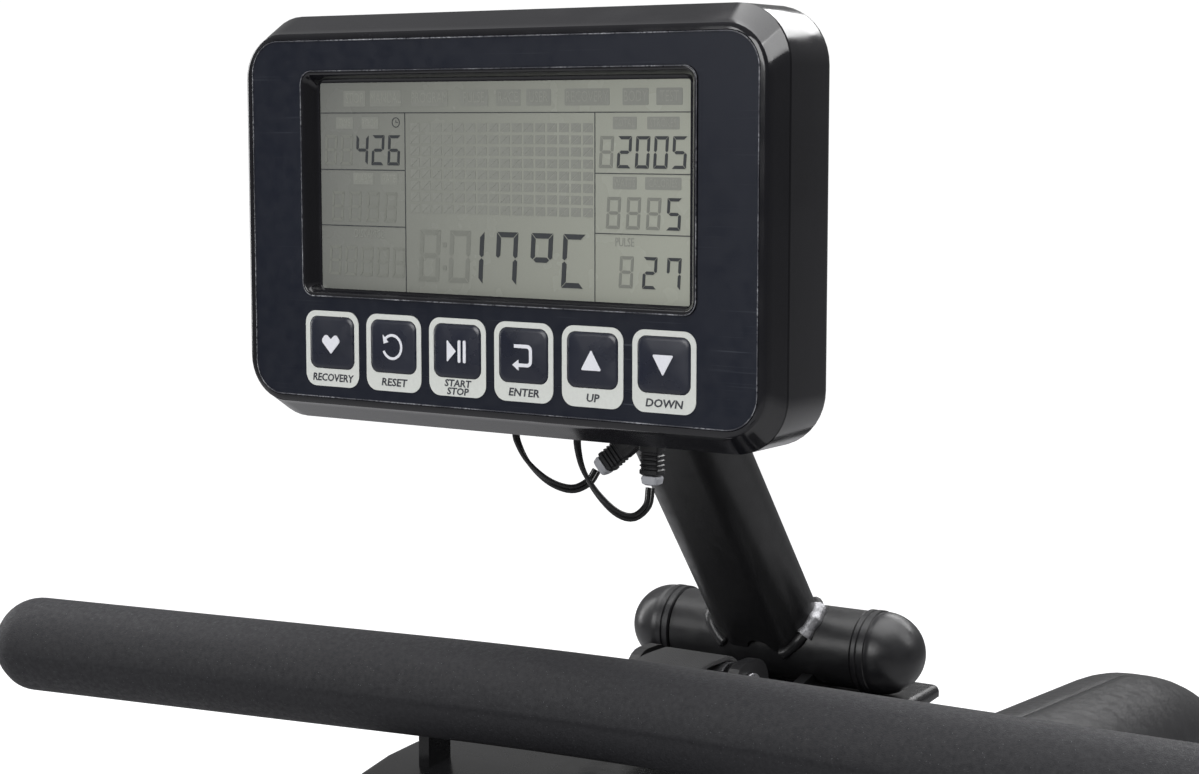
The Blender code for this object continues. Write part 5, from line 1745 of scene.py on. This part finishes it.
def make_footplate(side, body, x):
    """A moulded plate with a tread, a heel cup and a hub on the bar."""
    base, top = 0.034, 0.046
    half, heel, toe = 0.060, -0.130, 0.170
    middle, long = (heel + toe) / 2, (toe - heel) / 2

    def ring(above, inset):
        outline = rounded_box(half - inset, long - inset, 0.022 - inset, (0.0, middle))
        return [on_pedal(x + u, v, above) for u, v in outline]

    plate = rings_mesh(
        [
            ring(base, 0.004), ring(base + 0.0015, 0.001), ring(base + 0.004, 0.0), ring(top - 0.003, 0.0),
            ring(top - 0.0008, 0.0008), ring(top, 0.003),
        ]
    )
    parts = [plate]
    for k in range(11):
        along = -0.030 + 0.0165 * k
        wide = 0.050 if 0 < k < 10 else 0.042
        rib = rounded_box(wide, 0.0028, 0.0026, (0.0, along), math.radians(30))
        rings = []
        for height, inset in ((-0.001, 0.0), (0.0008, 0.0), (0.0016, 0.0008)):
            rings.append(
                [on_pedal(x + u * (1 - inset / wide), along + (v - along) * (1 - inset / 0.003), top + height) for u, v in rib]
            )
        parts.append(rings_mesh(rings))
    parts.append(heel_cup(x, top))
    hub = [(u, v) for u, v in rounded(((-0.018, 0.036, 0), (-0.013, -0.006, 0.012), (0.013, -0.006, 0.012), (0.018, 0.036, 0)))]
    bore = hull_circle((0, 0), 0.0086, 24)
    c, s = math.cos(PEDAL_TILT), math.sin(PEDAL_TILT)
    for x_low, x_high in ((-0.030, -0.022), (0.022, 0.030), (-0.004, 0.004)):
        parts.append(flat_mesh([hub, bore], lambda u, v, depth: on_pedal(x + depth, u, v), x_low, x_high))
    finish_piece(
        "foot_rest_" + side, join_meshes(parts), "satin", body,
        ["footplate_" + side], sharp=40,
    )


def heel_cup(x, top):
    """A curved wall round the heel."""
    rings = []
    count = 25
    for k in range(count):
        angle = math.radians(180 + 180 * k / (count - 1))
        c, s = math.cos(angle), math.sin(angle)
        lean = 0.5 + 0.5 * abs(s)
        high = 0.014 + 0.018 * lean
        ring = []
        for reach, height in ((0.0, -0.001), (0.0052, -0.001), (0.0040, high), (0.0012, high)):
            u = c * (0.0535 - reach)
            v = -0.078 + s * (0.0500 - reach)
            ring.append(on_pedal(x + u, v, top + height))
        rings.append(ring)
    return rings_mesh(rings)


def make_foot_strap(side, body, x):
    """Webbing over the instep with a cam buckle on its outer side."""
    base = 0.0465
    half, high, corner = 0.0560, 0.0700, 0.034
    path = [(half, 0.0), (half, 0.010)]
    for middle, start in ((half - corner, 0), (-(half - corner), 90)):
        for k in range(13):
            angle = math.radians(start + 7.5 * k)
            path.append((middle + corner * math.cos(angle), high - corner + corner * math.sin(angle)))
    path.extend([(-half, 0.010), (-half, 0.0)])
    rings = []
    for i, (u, v) in enumerate(path):
        before, after = Vector(path[max(i - 1, 0)]), Vector(path[min(i + 1, len(path) - 1)])
        ahead = (after - before).normalized()
        out = Vector((ahead.y, -ahead.x))
        ring = []
        for a, b in rounded_box(0.0190, 0.0010, 0.0007, step=math.radians(45)):
            ring.append(on_pedal(x + u + out.x * (b - 0.0015), 0.055 + a, base + v + out.y * (b - 0.0015)))
        rings.append(ring)
    finish_piece(
        "instep_strap_" + side, rings_mesh(rings), "foot_strap", body,
        ["foot_strap_" + side], sharp=70,
    )
    sign = 1 if x > 0 else -1

    def place(u, v, depth):
        return on_pedal(x + sign * (half + depth), 0.055 + u, base + v)

    buckle = flat_mesh(
        [rounded_box(0.0215, 0.0130, 0.003, (0, 0.024)), rounded_box(0.0185, 0.0035, 0.001, (0, 0.030))],
        place, -0.0005, 0.0022,
    )
    finish_piece("strap_buckle_" + side, buckle, "satin", body, bevel=0.0005)


# ---------------------------------------------------------------- bolts, wheels and feet


def make_bolts():
    """Bolt heads and nuts on the frame's outer faces."""
    parts = []
    plate = 0.0272
    for sign in (-1, 1):
        out = Vector((sign, 0, 0))
        for y, z in ((0.330, 0.235), (0.330, 0.185), (0.330, 0.100), (0.400, 0.100)):
            parts.append(nut(Vector((sign * plate, y, z)), out, 0.0080, 0.0052))
        parts.append(nut(Vector((sign * (plate + 0.0002), ROLLER.y, ROLLER.z)), out, 0.0070, 0.0040))
        parts.append(nut(Vector((sign * 0.2050, PEDAL_PIVOT.y, PEDAL_PIVOT.z)), out, 0.0090, 0.0060))
    finish_piece("frame_bolts", join_meshes(parts), "steel", "frame", bevel=0.0003)
    for side in ("left", "right"):
        wheel = middle_of("transport_wheel_" + side)
        parts = [spun_mesh(wheel, [
            (0.0046, 0.0110), (0.0090, 0.0116), (0.0110, 0.0100), (0.0190, 0.0092), (0.0205, 0.0112),
            (0.0250, 0.0115),
            (0.0274, 0.0098), (0.0280, 0.0060), (0.0280, -0.0060), (0.0274, -0.0098), (0.0250, -0.0115),
            (0.0205, -0.0112), (0.0190, -0.0092), (0.0110, -0.0100), (0.0090, -0.0116), (0.0046, -0.0110),
        ], 72, closed=True)]
        body = "transport_wheel_" + side
        finish_piece("roll_wheel_" + side, join_meshes(parts), "grey", body, [body], sharp=35)


def make_seat_wheels():
    for tag in ("front_top", "rear_top", "front_bottom", "rear_bottom"):
        wheel = middle_of("seat_wheel_" + tag)
        profile = [
            (0.0046, 0.0128), (0.0085, 0.0130), (0.0095, 0.0112), (0.0120, 0.0110), (0.0130, 0.0128),
            (0.0150, 0.0128),
            (0.0160, 0.0112), (0.0160, -0.0112), (0.0150, -0.0128), (0.0130, -0.0128), (0.0120, -0.0110),
            (0.0095, -0.0112), (0.0085, -0.0130), (0.0046, -0.0128),
        ]
        body = "seat_wheel_" + tag
        finish_piece(
            "roller_" + tag, spun_mesh(wheel, profile, 48, closed=True), "rubber", body,
            [body], sharp=35,
        )


# ---------------------------------------------------------------- studio


def dress_cad():
    """New materials on the CAD nodes whose shape is right."""
    looks = {
        "coat": (
            "front_stabilizer", "rear_leg", "frame_plate_left", "frame_plate_right", "base_beam",
            "console_bracket", "seat_carriage", "brake_arm",
        ),
        "steel": ("guide_roller", "flywheel_shaft", "reel_shaft", "pedal_bar"),
        "iron": ("flywheel",),
        "satin": ("rail_end_cap",),
        "grey": ("strap_reel", "drive_pulley", "brake_motor"),
        "rubber": ("front_foot_left", "front_foot_right", "rear_foot_left", "rear_foot_right", "drive_belt"),
        "lcd": ("lcd_panel",),
        "board": ("console_board",),
    }
    for look, names in looks.items():
        for name in names:
            mesh = frame["nodes"][name].data
            mesh.materials.clear()
            mesh.materials.append(LOOKS[look])


def add_camera():
    camera = bpy.data.objects.new("camera", bpy.data.cameras.new("camera"))
    bpy.context.scene.collection.objects.link(camera)
    camera.location = CAMERA_PLACE
    camera.rotation_euler = CAMERA_LOOK.to_track_quat("-Z", "Y").to_euler()
    camera.data.lens = CAMERA_LENS
    camera.data.sensor_width = 36
    camera.data.sensor_fit = "HORIZONTAL"
    camera.data.clip_start = 0.05
    camera.data.clip_end = 100
    bpy.context.scene.camera = camera


def add_light(name, place, target, size, power, colour=(1, 1, 1)):
    data = bpy.data.lights.new(name, "AREA")
    data.shape = "RECTANGLE"
    data.size, data.size_y = size
    data.energy = power
    data.color = colour
    light = bpy.data.objects.new(name, data)
    bpy.context.scene.collection.objects.link(light)
    light.location = place
    light.rotation_euler = (Vector(target) - Vector(place)).to_track_quat("-Z", "Y").to_euler()


def add_studio():
    scene = bpy.context.scene
    scene.view_settings.view_transform = "Standard"
    bm = bmesh.new()
    bmesh.ops.create_circle(bm, cap_ends=True, segments=96, radius=30)
    mesh = bpy.data.meshes.new("floor")
    bm.to_mesh(mesh)
    bm.free()
    floor = bpy.data.objects.new("floor", mesh)
    scene.collection.objects.link(floor)
    mesh.materials.append(LOOKS["floor"])
    add_world()
    aim = (0, 0.25, 0.75)
    add_light("top_softbox", (0.1, 0.5, 3.2), (0.0, 0.3, 0), (2.6, 3.0), 78)
    add_light("left_strip", (-2.2, 0.2, 1.7), aim, (0.5, 2.4), 26)
    add_light("right_softbox", (1.9, 1.2, 2.3), aim, (0.8, 1.4), 18)
    add_light("front_softbox", (-0.7, -3.0, 1.9), aim, (1.8, 1.5), 58)
    add_light("back_strip", (0.2, 3.0, 2.6), aim, (2.4, 0.8), 40)


def add_world():
    """White behind the object; for light and reflections, dim at the horizon and brighter above."""
    world = bpy.data.worlds.new("studio")
    bpy.context.scene.world = world
    world.use_nodes = True
    nodes, links = world.node_tree.nodes, world.node_tree.links
    background = nodes["Background"]
    background.inputs["Color"].default_value = (1, 1, 1, 1)
    direction = nodes.new("ShaderNodeSeparateXYZ")
    links.new(nodes.new("ShaderNodeTexCoord").outputs["Generated"], direction.inputs["Vector"])
    height = nodes.new("ShaderNodeMapRange")
    for key, value in (("From Min", 0.05), ("From Max", 0.9), ("To Min", 0.16), ("To Max", 0.5)):
        height.inputs[key].default_value = value
    links.new(direction.outputs["Z"], height.inputs["Value"])
    seen = nodes.new("ShaderNodeMix")
    links.new(nodes.new("ShaderNodeLightPath").outputs["Is Camera Ray"], seen.inputs["Factor"])
    links.new(height.outputs["Result"], seen.inputs["A"])
    seen.inputs["B"].default_value = 1.05
    links.new(seen.outputs["Result"], background.inputs["Strength"])


def main():
    add_camera()
    dress_cad()
    make_leads()
    make_console_shells()
    make_console_back()
    make_window()
    make_film()
    make_keys()
    make_display()
    make_crossbar()
    make_mast()
    make_welds()
    make_strap()
    make_tray()
    make_handle()
    make_handle_bracket()
    make_housing()
    make_rail()
    make_seat()
    make_carriage()
    make_pedals()
    make_bolts()
    make_seat_wheels()
    add_studio()


main()
